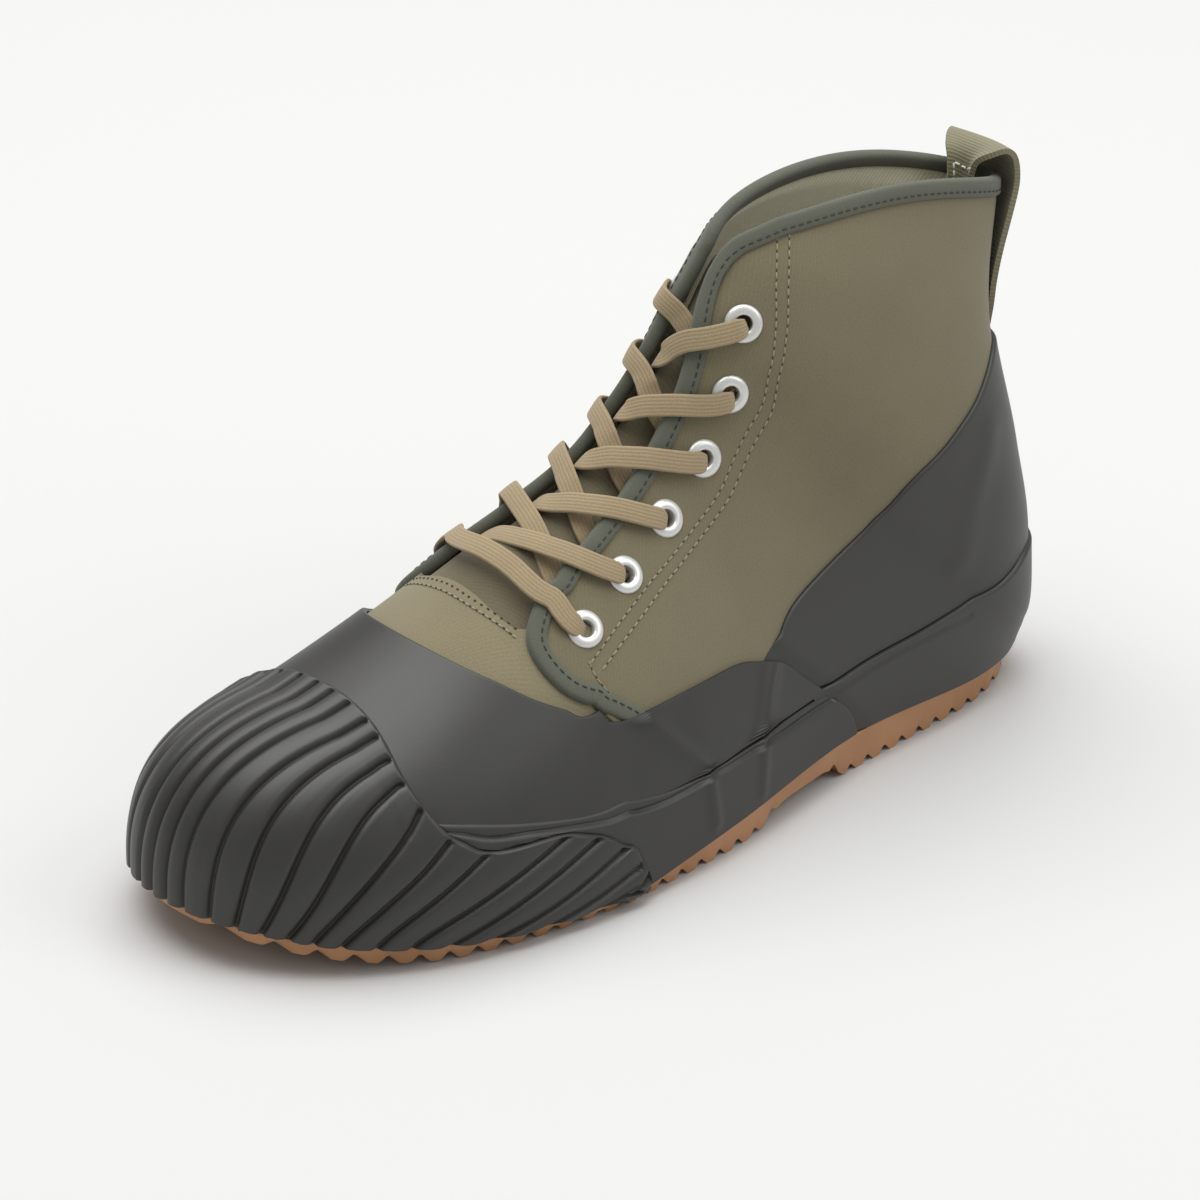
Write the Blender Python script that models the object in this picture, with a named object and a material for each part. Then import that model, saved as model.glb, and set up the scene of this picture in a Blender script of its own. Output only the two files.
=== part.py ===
"""A lace-up canvas and rubber ankle boot for the left foot, standing on its sole.

Every piece is cut from one last surface. The sizes are in millimetres, and the meshes in metres.
The toe points to -Y and the outer, lateral side to +X.
"""

import math

import bmesh
import bpy
import numpy as np

MM = 0.001
HALVINGS = 40
EDGE_SAMPLES = 160
TINY = 1e-6
SHARP_ANGLE = math.radians(40)

# The last: plan, toe spring and ridge of the forefoot
TOE_Y = -140.0
BALL_Y = -40.0
BALL_LATERAL = 51.5
BALL_MEDIAL = 49.7
TOE_INFLARE = -7.2
PLAN_ALONG = 2.95
PLAN_ACROSS = 2.05
BALL_FOOT_Z = 3.5
TOE_SPRING = 9.6
SPRING_POWER = 2.4
RIDGE_BALL_Z = 83.5
RIDGE_VAMP_Z = 54.7
RIDGE_TOE_FALL = 4.0
RIDGE_RUN = 0.62
RIDGE_POWER = 1.35
PROFILE_ALONG = 6.2
PROFILE_UP = 2.4
TOE_CROWN = 2.5
TOE_FLANK = 2.3
TOE_BLEND = 0.6

# The last: sections that fan from the ball to the collar. The foot is the low or back end of a
# section and the head its end on the instep line, a share of the way from ball to collar.
COLLAR_FRONT_Y = 33.5
COLLAR_FRONT_Z = 147.0
INSTEP_HOLLOW = 6.5
HEEL_STATION = 1.85
COLLAR_STATION = 3.0
CLOSE_POWER = 8.0
COLLAR_ARCH = 6.8
COLLAR_ARCH_FROM = 2.3
LAST_COLUMNS = ("station", "foot_y", "foot_z", "head", "lateral", "medial", "close", "crown", "flank")
LAST_ROWS = (
    (1.00, BALL_Y, BALL_FOOT_Z, 0.00, BALL_LATERAL, BALL_MEDIAL, 0.00, 1.60, 1.75),
    (1.20, -0.3, 9.1, 0.13, 46.4, 41.0, 0.00, 1.75, 1.75),
    (1.40, 50.2, 12.1, 0.30, 34.6, 30.2, 0.03, 2.10, 1.80),
    (1.60, 100.5, 10.1, 0.47, 29.2, 29.0, 0.12, 2.50, 1.85),
    (1.75, 121.8, 9.9, 0.60, 28.6, 28.4, 0.60, 2.80, 1.90),
    (HEEL_STATION, 132.2, 10.2, 0.68, 29.4, 29.2, 1.00, 3.10, 1.95),
    (2.00, 133.1, 34.0, 0.75, 30.0, 29.8, 1.00, 3.30, 2.00),
    (2.25, 127.5, 66.0, 0.83, 28.6, 28.4, 1.00, 3.60, 2.00),
    (2.60, 119.8, 104.0, 0.92, 23.4, 23.4, 1.00, 3.80, 2.00),
    (COLLAR_STATION, 126.4, 139.4, 1.00, 13.8, 14.8, 1.00, 4.00, 2.00),
)

# Edges on the last, as girth (0 on the ridge, 1 at the foot) and station
CAP_EDGE = ((0.00, 0.752), (0.20, 0.728), (0.36, 0.742), (0.51, 0.78), (0.62, 0.85), (0.66, 0.92),
            (0.73, 0.97), (0.84, 1.00), (1.00, 1.02))
MUDGUARD_FRONT = ((0.00, 0.752), (0.20, 0.728), (0.36, 0.742), (0.44, 0.77), (0.50, 0.85), (0.61, 0.94),
                  (0.71, 1.00), (0.75, 1.06), (0.79, 1.17), (0.81, 1.26), (0.825, 1.37))
MUDGUARD_TOP = ((0.00, 0.885), (0.08, 0.907), (0.16, 0.93), (0.25, 0.953), (0.35, 0.98), (0.43, 1.00),
                (0.50, 1.05), (0.55, 1.22), (0.59, 1.315), (0.63, 1.352),
                (0.66, 1.375), (0.74, 1.392), (0.825, 1.405))
# The same kind of edges, as station and girth
FOXING_TOP = ((0.77, 0.44), (0.85, 0.50), (0.94, 0.61), (1.00, 0.71), (1.06, 0.75), (1.17, 0.79),
              (1.26, 0.81), (1.40, 0.83))
FOXING_REAR_TOP = ((1.41, 0.818), (1.505, 0.795), (1.614, 0.785), (1.714, 0.78), (1.843, 0.777),
                   (1.945, 0.855), (2.05, 1.00))
COUNTER_TOP = ((1.385, 0.64), (1.42, 0.59), (1.48, 0.54), (1.585, 0.50), (1.718, 0.48), (1.868, 0.465),
               (2.006, 0.53), (2.194, 0.64), (2.33, 0.735), (2.45, 0.83), (2.53, 0.91), (2.57, 1.00))
COVERED_FROM = ((1.00, 0.43), (1.05, 0.50), (1.22, 0.55), (1.37, 0.645), (1.48, 0.54), (1.74, 0.475),
                (1.88, 0.465), (2.04, 0.545), (2.33, 0.735), (2.58, 1.00), (COLLAR_STATION, 1.20))
# Half of the throat's width, by station
THROAT_STATION = 0.985
VAMP_FADE = 0.04
THROAT_HALF = ((THROAT_STATION, 21.5), (1.06, 18.4), (1.23, 15.4), (1.40, 12.2), (1.60, 8.8), (1.80, 6.6),
               (2.04, 5.0), (2.30, 4.2), (2.60, 4.0), (2.80, 4.6), (2.92, 6.2), (COLLAR_STATION, 9.0))
# What the throat is wider on the lateral side, by station
THROAT_LEAN = ((THROAT_STATION, 0.0), (1.23, 0.5), (1.44, 0.7), (1.60, 1.2), (1.74, 1.6), (1.82, 1.5),
               (1.90, 1.1), (2.04, 0.5), (2.30, -0.6), (2.50, -1.0), (2.65, -0.9), (2.80, -0.4),
               (COLLAR_STATION, 0.0))

# Grid of the upper: stations before the throat and beside it, and shares of the girth from throat to foot
FRONT_STATIONS = np.array([0.0, 0.04, 0.10, 0.20, 0.34, 0.49, 0.63, 0.76, 0.88, THROAT_STATION])
FAN_STATIONS = np.array([
    THROAT_STATION, 1.0, 1.05, 1.14, 1.25, 1.37, 1.49, 1.60, 1.69, 1.76, 1.81, 1.84, HEEL_STATION,
    1.92, 2.0, 2.1, 2.22, 2.36, 2.52, 2.68, 2.81, 2.90, COLLAR_STATION])
HEEL_COLUMNS = 15
HEEL_COLUMN_POWER = 1.35
HEEL_FOOT_POWER = 1.26
HEEL_SHARES = 1 - np.linspace(1, 0, HEEL_COLUMNS) ** HEEL_COLUMN_POWER
GIRTH_SHARES = np.array([0.0, 0.09, 0.20, 0.34, 0.50, 0.66, 0.80, 0.91, 0.975, 1.0])
VAMP_COLUMNS = 4

# Walls and gaps
GAP = 0.3
CURVED_GAP = 0.6
FOXING_GAP = 0.9
SOLE_GAP = 0.7
CANVAS_WALL = 2.0
QUARTER_STEP = 0.8
QUARTER_FADE = 0.12
COVERED_STEP = 0.6
MUDGUARD_OUT = 1.7
COUNTER_OUT = 1.9
FOXING_OUT = 3.3
FOXING_REAR_OUT = 3.1
CAP_GROOVE_OUT = 3.2
CAP_RIB_OUT = 4.6
EDGE_STATION_GAP = 0.006
MUDGUARD_STATION_GAP = 0.009
EDGE_GIRTH_GAP = 0.009

# Grids of the rubber sheets
ROW_POWER = 1.6
MUDGUARD_CROWN = 0.45
MUDGUARD_CROWN_COLUMNS = 7
MUDGUARD_FLANK_COLUMNS = 9
MUDGUARD_ROWS = 5
FOXING_ROWS = 7
FOXING_COLUMNS = 14
FOXING_START_REACH = 0.05
FOXING_REAR_ROWS = 4
COUNTER_ROWS = 6

# Toe cap, with one column on each crest and each groove of its ribs
CAP_COLUMNS = 32
CAP_ROWS = 7
CAP_ROW_POWER = 2.2
CAP_FOOT_POWER = 1.5
CAP_END_SHARE = 0.985
CAP_RIB_FADE = 0.12

# Sole
SOLE_EDGE = 2.2
SOLE_HEEL_EDGE = 0.6
SOLE_HEEL_FROM_Y = (50.0, 100.0)
SOLE_UNDERCUT = 1.6
SOLE_TOOTH_PITCH = 7.2
SOLE_TOOTH_DEPTH = 2.2
SOLE_TOOTH_REACH = 9.0
SOLE_TOOTH_SHARE = 0.6
SOLE_TOOTHLESS_LIFT = 0.05
SOLE_TOE_LIFT = 9.0
SOLE_TOE_FROM_Y = -84.0
SOLE_TOE_REACH = 1.2
SOLE_ARCH_Y = (6.0, 22.0, 38.0, 50.0)
SOLE_ARCH_LIFT = 3.0
PLATFORM_Z = 11.0
PLATFORM_TOE_SHARE = 0.5
PLATFORM_INSET = 3.5
INSOLE_INSET = 4.6
INSOLE_THICK = 3.0
INSOLE_POINTS = 44
FOOT_TOE_STATION = 0.2
FOOT_HEEL_STATION = 1.6
FOOT_END_SAMPLES = 60

# Tongue
TONGUE_STATIONS = (0.93, 2.62)
TONGUE_OUT = -4.3
TONGUE_IN = -5.9
TONGUE_ROWS = 11
TONGUE_COLUMNS = 7
TONGUE_HALF = ((TONGUE_STATIONS[0], 27.0), (1.20, 26.0), (1.60, 21.0), (2.00, 17.5),
               (TONGUE_STATIONS[1], 15.0))

# Edge binding
BINDING_WIDTH = 3.2
BINDING_THICK = 0.9
BINDING_UNDER = 0.8
BINDING_LIP = 1.6
BINDING_PROBE_GIRTH = 0.03
BINDING_PROBE_STATION = 0.05

# Eyelets, by place in side view
EYELETS = ((-35.5, 66.2), (-19.0, 74.8), (-1.4, 83.6), (13.9, 95.0), (23.6, 110.0), (29.2, 127.5))
EYELET_RADIUS = 5.0
EYELET_BORE = 2.3
EYELET_HEIGHT = 0.9
EYELET_CHAMFER = 0.8
EYELET_LIP = 0.5
EYELET_SIDES = 8
EYELET_GAP = 0.5

# Lace
LACE_WIDTH = 6.5
LACE_THICK = 1.3
LACE_STACK = 0.5
LACE_CLEAR = 1.4
LACE_START = 0.6
LACE_BRIDGE = 4.0
LACE_NARROW = 8.0
LACE_NEAR = 1.5
LACE_BESIDE = 2.5
LACE_POINTS = 9
RIDGE_UP = np.array((0.0, -0.6, 0.8))

# Pull loop: height, how far it stands off the back line, and how far it wraps around the heel
LOOP_WIDTH = 24.0
LOOP_THICK = 1.5
LOOP_LENGTHS = 14
LOOP_STRANDS = 6
LOOP_ARC_GIRTH = 0.5
LOOP_COLUMNS = ("height", "stand_off", "wrap")
LOOP_ROWS = (
    (106.5, 2.8, 1.00),
    (114.0, 3.1, 0.95),
    (122.5, 3.6, 0.80),
    (132.0, 4.2, 0.60),
    (141.0, 4.6, 0.45),
    (147.5, 3.4, 0.40),
    (150.4, 0.4, 0.40),
    (149.8, -3.6, 0.50),
    (146.0, -6.6, 0.85),
    (137.0, -7.0, 1.00),
    (128.0, -5.6, 1.00),
)

COLOURS = {
    "canvas": ((0.165, 0.140, 0.082, 1.0), 0.9, 0.0),
    "rubber": ((0.062, 0.058, 0.052, 1.0), 0.55, 0.0),
    "gum": ((0.420, 0.190, 0.075, 1.0), 0.6, 0.0),
    "binding": ((0.105, 0.112, 0.085, 1.0), 0.85, 0.0),
    "lace": ((0.440, 0.300, 0.160, 1.0), 0.85, 0.0),
    "eyelet": ((0.720, 0.720, 0.700, 1.0), 0.35, 1.0),
    "insole": ((0.200, 0.170, 0.110, 1.0), 0.9, 0.0),
}


def smooth(rows, at):
    """A cubic through rows of (place, value), with each slope taken from the neighbours."""
    places, values = np.array(rows, float).T
    at = np.clip(np.asarray(at, float), places[0], places[-1])
    steps = np.diff(places)
    rises = np.diff(values) / steps
    slopes = np.empty(len(places))
    slopes[1:-1] = (rises[:-1] * steps[1:] + rises[1:] * steps[:-1]) / (steps[:-1] + steps[1:])
    slopes[0] = rises[0]
    slopes[-1] = rises[-1]
    row = np.clip(np.searchsorted(places, at, side="right") - 1, 0, len(places) - 2)
    step = steps[row]
    share = (at - places[row]) / step
    rest = 1 - share
    ends = (1 + 2 * share) * rest**2 * values[row] + share**2 * (3 - 2 * share) * values[row + 1]
    return ends + step * share * rest * (rest * slopes[row] - share * slopes[row + 1])


def ramp(value):
    value = np.clip(value, 0.0, 1.0)
    return value * value * (3 - 2 * value)


def last_column(name, station):
    place = LAST_COLUMNS.index(name)
    return smooth([(row[0], row[place]) for row in LAST_ROWS], station)


def forefoot(station):
    """Shape of a section before the ball: how far towards the toe, and its share of the ball's width."""
    turn = (1 - np.clip(station, 0.0, 1.0)) * math.pi / 2
    along = np.sin(turn) ** (2 / PLAN_ALONG)
    across = np.maximum(np.cos(turn), 0.0) ** (2 / PLAN_ACROSS)
    return along, across


def instep(share):
    """The instep line from ball to collar, a little hollow in the middle."""
    run = COLLAR_FRONT_Y - BALL_Y
    rise = COLLAR_FRONT_Z - RIDGE_BALL_Z
    hollow = 4 * INSTEP_HOLLOW * share * (1 - share) / math.hypot(run, rise)
    return BALL_Y + run * share + rise * hollow, RIDGE_BALL_Z + rise * share - run * hollow


def section(station, lateral):
    """Foot, head, half width, close, crown and flank of the sections at these stations."""
    station = np.asarray(station, float)
    fan = station >= 1
    along, across = forefoot(station)
    foot_y = np.where(fan, last_column("foot_y", station), BALL_Y + (TOE_Y - BALL_Y) * along)
    low = BALL_FOOT_Z + TOE_SPRING * along**SPRING_POWER
    foot_z = np.where(fan, last_column("foot_z", station), low)
    head = last_column("head", station)
    instep_y, instep_z = instep(head)
    head_y = np.where(fan, instep_y, foot_y)
    rise = (RIDGE_BALL_Z - RIDGE_VAMP_Z) * np.clip(1 - along / RIDGE_RUN, 0, 1) ** RIDGE_POWER
    ridge = RIDGE_VAMP_Z + rise - RIDGE_TOE_FALL * along
    ridge = low + (ridge - low) * np.maximum(1 - along**PROFILE_ALONG, 0.0) ** (1 / PROFILE_UP)
    head_z = np.where(fan, instep_z, ridge)
    ball = np.where(lateral, BALL_LATERAL, BALL_MEDIAL)
    fan_half = np.where(lateral, last_column("lateral", station), last_column("medial", station))
    half = np.where(fan, fan_half, ball * across)
    blend = np.clip(along / TOE_BLEND, 0, 1)
    crown = last_column("crown", station)
    crown = np.where(fan, crown, crown + (TOE_CROWN - crown) * blend)
    flank = last_column("flank", station)
    flank = np.where(fan, flank, flank + (TOE_FLANK - flank) * blend)
    close = np.where(fan, np.clip(last_column("close", station), 0, 1), 0.0)
    centre = np.where(fan, 0.0, TOE_INFLARE * along**2)
    return foot_y, foot_z, head_y, head_z, half, close, crown, flank, centre


def last(station, girth):
    """Points of the last. Girth is -1 at the medial foot, 0 on the ridge and 1 at the lateral foot."""
    station, girth = np.broadcast_arrays(np.asarray(station, float), np.asarray(girth, float))
    foot_y, foot_z, head_y, head_z, half, close, crown, flank, centre = section(station, girth >= 0)
    up = 1 - np.abs(girth)
    width = half * np.maximum(1 - up**crown, 0.0) ** (1 / flank)
    width = width * np.sqrt(np.maximum(1 - close * (1 - up) ** CLOSE_POWER, 0.0))
    arch = COLLAR_ARCH * ramp((station - COLLAR_ARCH_FROM) / (COLLAR_STATION - COLLAR_ARCH_FROM))
    return np.stack([
        centre + np.sign(girth) * width,
        foot_y + up * (head_y - foot_y),
        foot_z + up * (head_z - foot_z) + arch * np.sin(math.pi * up),
    ], -1)


def last_normal(station, girth):
    """Outward normals of the last. None points down, so that no sheet reaches under the foot line."""
    step = 0.002
    station, girth = np.broadcast_arrays(np.asarray(station, float), np.asarray(girth, float))
    before = np.clip(station - step, step, COLLAR_STATION)
    after = np.clip(station + step, 2 * step, COLLAR_STATION)
    lower = np.clip(girth - step, -1, 1)
    upper = np.clip(girth + step, -1, 1)
    along = last(after, girth) - last(before, girth)
    around = last(np.maximum(station, step), upper) - last(np.maximum(station, step), lower)
    normal = np.cross(around, along)
    normal[..., 2] = np.maximum(normal[..., 2], 0)
    return normal / np.maximum(np.linalg.norm(normal, axis=-1, keepdims=True), TINY)


def girth_at_half(station, half_gap):
    """The girth at which a section is half_gap from the middle."""
    half = np.where(np.asarray(station) >= 1, last_column("lateral", station),
                    BALL_LATERAL * forefoot(station)[1])
    crown, flank = section(station, True)[6:8]
    return 1 - np.maximum(1 - (half_gap / half) ** flank, 0.0) ** (1 / crown)


def throat_half(station, side):
    return smooth(THROAT_HALF, station) + smooth(THROAT_LEAN, station) * (side > 0)


def throat_girth(station, side):
    return girth_at_half(station, throat_half(station, side))


def place_in_side_view(y, z):
    """Station and girth of a point that is given by its side view, found by halving the interval."""
    low, high = 0.0, COLLAR_STATION
    for _ in range(HALVINGS):
        middle = (low + high) / 2
        foot_y, foot_z, head_y, head_z = section(middle, True)[:4]
        ahead = (head_y - foot_y) * (z - foot_z) - (head_z - foot_z) * (y - foot_y)
        low, high = (middle, high) if ahead < 0 else (low, middle)
    foot_z, head_z = (section(low, True)[1], section(low, True)[3])
    return low, 1 - float((z - foot_z) / (head_z - foot_z))


def place_in_plan(x, y):
    """Station and girth of a forefoot point that is given by its plan."""
    along = np.clip((y - BALL_Y) / (TOE_Y - BALL_Y), 0, 1)
    turn = np.arcsin(along ** (PLAN_ALONG / 2))
    pace = (LAST_ROWS[1][1] - BALL_Y) / (LAST_ROWS[1][0] - 1)
    station = np.where(y > BALL_Y, 1 + (y - BALL_Y) / pace, 1 - turn / (math.pi / 2))
    centre = TOE_INFLARE * along**2
    lateral = x >= centre
    half, _, crown, flank = section(station, lateral)[4:8]
    share = np.clip(np.abs(x - centre) / np.maximum(half, TINY), 0, 1)
    up = (1 - share**flank) ** (1 / crown)
    return station, np.where(lateral, 1, -1) * (1 - up)


def material(name):
    found = bpy.data.materials.get(name)
    if found:
        return found
    colour, roughness, metallic = COLOURS[name]
    made = bpy.data.materials.new(name)
    made.use_nodes = True
    shader = made.node_tree.nodes["Principled BSDF"]
    shader.inputs["Base Color"].default_value = colour
    shader.inputs["Roughness"].default_value = roughness
    shader.inputs["Metallic"].default_value = metallic
    return made


def add_object(name, points, faces, finish, root):
    """One mesh object from points in millimetres, with its faces turned outwards."""
    mesh = bpy.data.meshes.new(name)
    mesh.from_pydata([tuple(float(value) * MM for value in point) for point in points], [], faces)
    shape = bmesh.new()
    shape.from_mesh(mesh)
    bmesh.ops.recalc_face_normals(shape, faces=shape.faces)
    shape.to_mesh(mesh)
    shape.free()
    mesh.materials.append(material(finish))
    mesh.shade_smooth()
    mesh.set_sharp_from_angle(angle=SHARP_ANGLE)
    made = bpy.data.objects.new(name, mesh)
    bpy.context.scene.collection.objects.link(made)
    made.parent = root
    return made


def grid_faces(rows, columns, first=0):
    faces = []
    for row in range(rows - 1):
        for column in range(columns - 1):
            corner = first + row * columns + column
            faces.append((corner, corner + 1, corner + columns + 1, corner + columns))
    return faces


def shell(name, patches, inner, outer, finish, root):
    """A sheet on the last between two offsets, from (station, girth) grids that join where they meet."""
    stations, girths, faces = [], [], []
    count = 0
    for station, girth in patches:
        station, girth = np.broadcast_arrays(station, girth)
        faces += grid_faces(*station.shape, count)
        count += station.size
        stations.append(station.ravel())
        girths.append(girth.ravel())
    stations, girths = np.concatenate(stations), np.concatenate(girths)
    base = last(stations, girths)
    _, index = np.unique(np.round(base, 3), axis=0, return_inverse=True)
    index = index.ravel()
    total = index.max() + 1

    def shared(values):
        values = np.asarray(values, float)
        summed = np.zeros((total,) + values.shape[1:])
        np.add.at(summed, index, values)
        return summed / np.bincount(index).reshape((-1,) + (1,) * (values.ndim - 1))

    normal = shared(last_normal(stations, girths))
    normal = normal / np.linalg.norm(normal, axis=1, keepdims=True)
    base = shared(base)
    far = base + shared(np.broadcast_to(outer, stations.shape))[:, None] * normal
    near = base + shared(np.broadcast_to(inner, stations.shape))[:, None] * normal
    sheet = []
    for face in faces:
        corners = list(dict.fromkeys(index[list(face)].tolist()))
        if len(corners) > 2:
            sheet.append(corners)
    uses = {}
    for corners in sheet:
        for start, end in zip(corners, corners[1:] + corners[:1]):
            uses.setdefault((min(start, end), max(start, end)), []).append((start, end))
    rim = [pair[0] for pair in uses.values() if len(pair) == 1]
    solid = [tuple(corners) for corners in sheet]
    solid += [tuple(corner + total for corner in reversed(corners)) for corners in sheet]
    solid += [(end, start, start + total, end + total) for start, end in rim]
    return add_object(name, np.concatenate([far, near]), solid, finish, root)


def both_sides(station, girth):
    """The lateral patch and its medial mirror."""
    return [(station, girth), (station, -girth)]


def make_upper(root):
    bottom = throat_girth(THROAT_STATION, 1)
    vamp = np.linspace(0, bottom, VAMP_COLUMNS)[:-1]
    half = np.concatenate([vamp, bottom + (1 - bottom) * GIRTH_SHARES])
    patches = both_sides(FRONT_STATIONS[:, None], half[None, :])
    for side in (1, -1):
        edge = throat_girth(FAN_STATIONS, side)[:, None]
        patches.append((FAN_STATIONS[:, None], side * (edge + (1 - edge) * GIRTH_SHARES[None, :])))
    station = np.concatenate([np.broadcast_arrays(*patch)[0].ravel() for patch in patches])
    girth = np.abs(np.concatenate([np.broadcast_arrays(*patch)[1].ravel() for patch in patches]))
    uncovered = ramp((smooth(COVERED_FROM, station) - girth) / QUARTER_FADE)
    quarter = (QUARTER_STEP + COVERED_STEP) * uncovered * (station > THROAT_STATION)
    bare = ramp((station - smooth(MUDGUARD_TOP, girth)) / VAMP_FADE)
    raised = quarter + COVERED_STEP * bare * (station <= THROAT_STATION)
    return shell("upper", patches, -CANVAS_WALL, raised - COVERED_STEP, "canvas", root)


def make_tongue(root):
    station = np.linspace(*TONGUE_STATIONS, TONGUE_ROWS)[:, None]
    half = girth_at_half(station, smooth(TONGUE_HALF, station))
    girth = half * np.linspace(-1, 1, TONGUE_COLUMNS)[None, :]
    return shell("tongue", [(station, girth)], TONGUE_IN, TONGUE_OUT, "canvas", root)


def make_mudguard(root):
    foot = MUDGUARD_TOP[-1][0]
    crown = np.linspace(0, MUDGUARD_CROWN, MUDGUARD_CROWN_COLUMNS)[:-1]
    flank = foot - (foot - MUDGUARD_CROWN) * np.linspace(1, 0, MUDGUARD_FLANK_COLUMNS) ** ROW_POWER
    girth = np.concatenate([crown, flank])[None, :]
    front = smooth(MUDGUARD_FRONT, girth) + MUDGUARD_STATION_GAP
    back = smooth(MUDGUARD_TOP, girth) - EDGE_STATION_GAP
    share = np.linspace(0, 1, MUDGUARD_ROWS)[:, None]
    girth = np.minimum(girth, foot - EDGE_GIRTH_GAP) + 0 * share
    patches = both_sides(front + (back - front) * share, girth)
    return shell("mudguard", patches, CURVED_GAP, MUDGUARD_OUT, "rubber", root)


def make_foxing_strip(name, side, root):
    """A front strip from the cap's wing to midfoot."""
    down = np.linspace(0, 1, FOXING_ROWS)[:, None] ** ROW_POWER

    def girth_at(station):
        above = smooth(FOXING_TOP, station) + EDGE_GIRTH_GAP
        return above + (1 - above) * down

    low = np.full_like(down, FOXING_TOP[0][0])
    high = np.full_like(down, CAP_EDGE[-1][1] + FOXING_START_REACH)
    for _ in range(HALVINGS):
        start = (low + high) / 2
        behind = start > smooth(CAP_EDGE, girth_at(start)) + 2 * EDGE_STATION_GAP
        low, high = np.where(behind, low, start), np.where(behind, start, high)
    even = np.linspace(FOXING_TOP[0][0], FOXING_TOP[-1][0], FOXING_COLUMNS)
    station = np.maximum(even[None, :], start)
    return shell(name, [(station, side * girth_at(station))], FOXING_GAP, FOXING_OUT, "rubber", root)


def heel_band(lower, upper, rows):
    """A patch ruled between two edges that run from midfoot to the middle of the heel."""
    share = np.linspace(0, 1, rows)[:, None]
    station = lower[0] + (upper[0] - lower[0]) * share
    girth = lower[1] + (upper[1] - lower[1]) * share
    return both_sides(station, girth)


def edge_along(rows, shares):
    """Station and girth along an edge of (station, girth) rows, by share of its number of rows."""
    places = np.linspace(0, 1, len(rows))
    station = smooth(list(zip(places, [row[0] for row in rows])), shares)
    girth = smooth(list(zip(places, [row[1] for row in rows])), shares)
    return station[None, :], np.clip(girth, 0, 1)[None, :]


def make_foxing_rear(root):
    start = FOXING_REAR_TOP[0][0]
    top = edge_along(FOXING_REAR_TOP, HEEL_SHARES)
    run = HEEL_STATION - start
    foot = (start + run * (1 - (1 - HEEL_SHARES) ** HEEL_FOOT_POWER))[None, :], np.ones_like(top[0])
    patches = heel_band(foot, top, FOXING_REAR_ROWS)
    return shell("foxing_rear", patches, CURVED_GAP, FOXING_REAR_OUT, "rubber", root)


def make_heel_counter(root):
    foot = edge_along(FOXING_REAR_TOP, HEEL_SHARES)
    lift = EDGE_GIRTH_GAP * (1 - HEEL_SHARES[None, :]), 0.5 * EDGE_GIRTH_GAP * HEEL_SHARES[None, :]
    lower = foot[0] + lift[1], foot[1] - lift[0]
    upper = edge_along(COUNTER_TOP, HEEL_SHARES)
    patches = heel_band(lower, upper, COUNTER_ROWS)
    return shell("heel_counter", patches, CURVED_GAP, COUNTER_OUT, "rubber", root)


def along_path(points, values, shares):
    """Values that go with a polyline's points, at shares of its length."""
    length = np.concatenate([[0], np.cumsum(np.linalg.norm(np.diff(points, axis=0), axis=1))])
    return np.stack([np.interp(shares * length[-1], length, values[:, axis]) for axis in range(3)], -1)


def cap_edges(side):
    """One half of the cap: its foot line from toe tip to wing, and its rear edge from ridge to wing."""
    wing_girth, wing_station = CAP_EDGE[-1]
    even = np.linspace(0, 1, EDGE_SAMPLES)
    foot = last(wing_station * even**CAP_FOOT_POWER, np.full(EDGE_SAMPLES, side))
    girth = wing_girth * even
    rear = last(smooth(CAP_EDGE, girth), side * girth)
    return foot, rear


def make_toe_cap(root):
    """Ribs run from the rear edge down to the foot line."""
    columns = CAP_COLUMNS
    shares = np.linspace(0, CAP_END_SHARE, columns + 1)
    rise = np.linspace(0, 1, CAP_ROWS)[:, None] ** CAP_ROW_POWER
    patches, offsets = [], []
    for side in (1, -1):
        foot, rear = (along_path(edge, edge, shares)[:, :2] for edge in cap_edges(side))
        plan = foot[None] + (rear - foot)[None] * rise[..., None]
        station, girth = place_in_plan(plan[..., 0], plan[..., 1])
        middle = np.arange(columns + 1)[None, :] == 0
        girth = np.where(middle & (rise > 0.5), 0.0, girth)
        patches.append((station, girth))
        crest = np.arange(columns + 1)[None, :] % 2 == 0
        fade = ramp((1 - rise) / CAP_RIB_FADE)
        offsets.append((CAP_GROOVE_OUT + (CAP_RIB_OUT - CAP_GROOVE_OUT) * crest * fade).ravel())
    return shell("toe_cap", patches, CURVED_GAP, np.concatenate(offsets), "rubber", root)


def foot_line():
    """The closed line of last and sole from the toe along the lateral side, with its plan normals."""
    toe = FOOT_TOE_STATION * np.linspace(0, 1, FOOT_END_SAMPLES)[:-1] ** 2
    side = np.linspace(FOOT_TOE_STATION, FOOT_HEEL_STATION, EDGE_SAMPLES)[:-1]
    heel = HEEL_STATION - (HEEL_STATION - FOOT_HEEL_STATION) * np.linspace(1, 0, FOOT_END_SAMPLES) ** 2
    out = np.concatenate([toe, side, heel])
    lateral = last(out, np.ones_like(out))
    medial = last(out[::-1][1:-1], -np.ones(len(out) - 2))
    line = np.concatenate([lateral, medial])
    ahead = np.roll(line, -1, axis=0) - np.roll(line, 1, axis=0)
    normal = np.stack([-ahead[:, 1], ahead[:, 0], np.zeros(len(line))], -1)
    normal /= np.linalg.norm(normal, axis=1, keepdims=True)
    outward = np.sign(np.sum(normal * (line - line.mean(axis=0)), axis=1).sum())
    return line, outward * normal


def sole_bottom(y):
    share = (SOLE_TOE_FROM_Y - y) / (SOLE_TOE_FROM_Y - TOE_Y)
    toe = SOLE_TOE_LIFT * np.clip(share, 0, SOLE_TOE_REACH) ** 2
    front, front_top, back_top, back = SOLE_ARCH_Y
    arch = ramp((y - front) / (front_top - front)) * ramp((back - y) / (back - back_top))
    return toe, SOLE_ARCH_LIFT * arch


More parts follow.
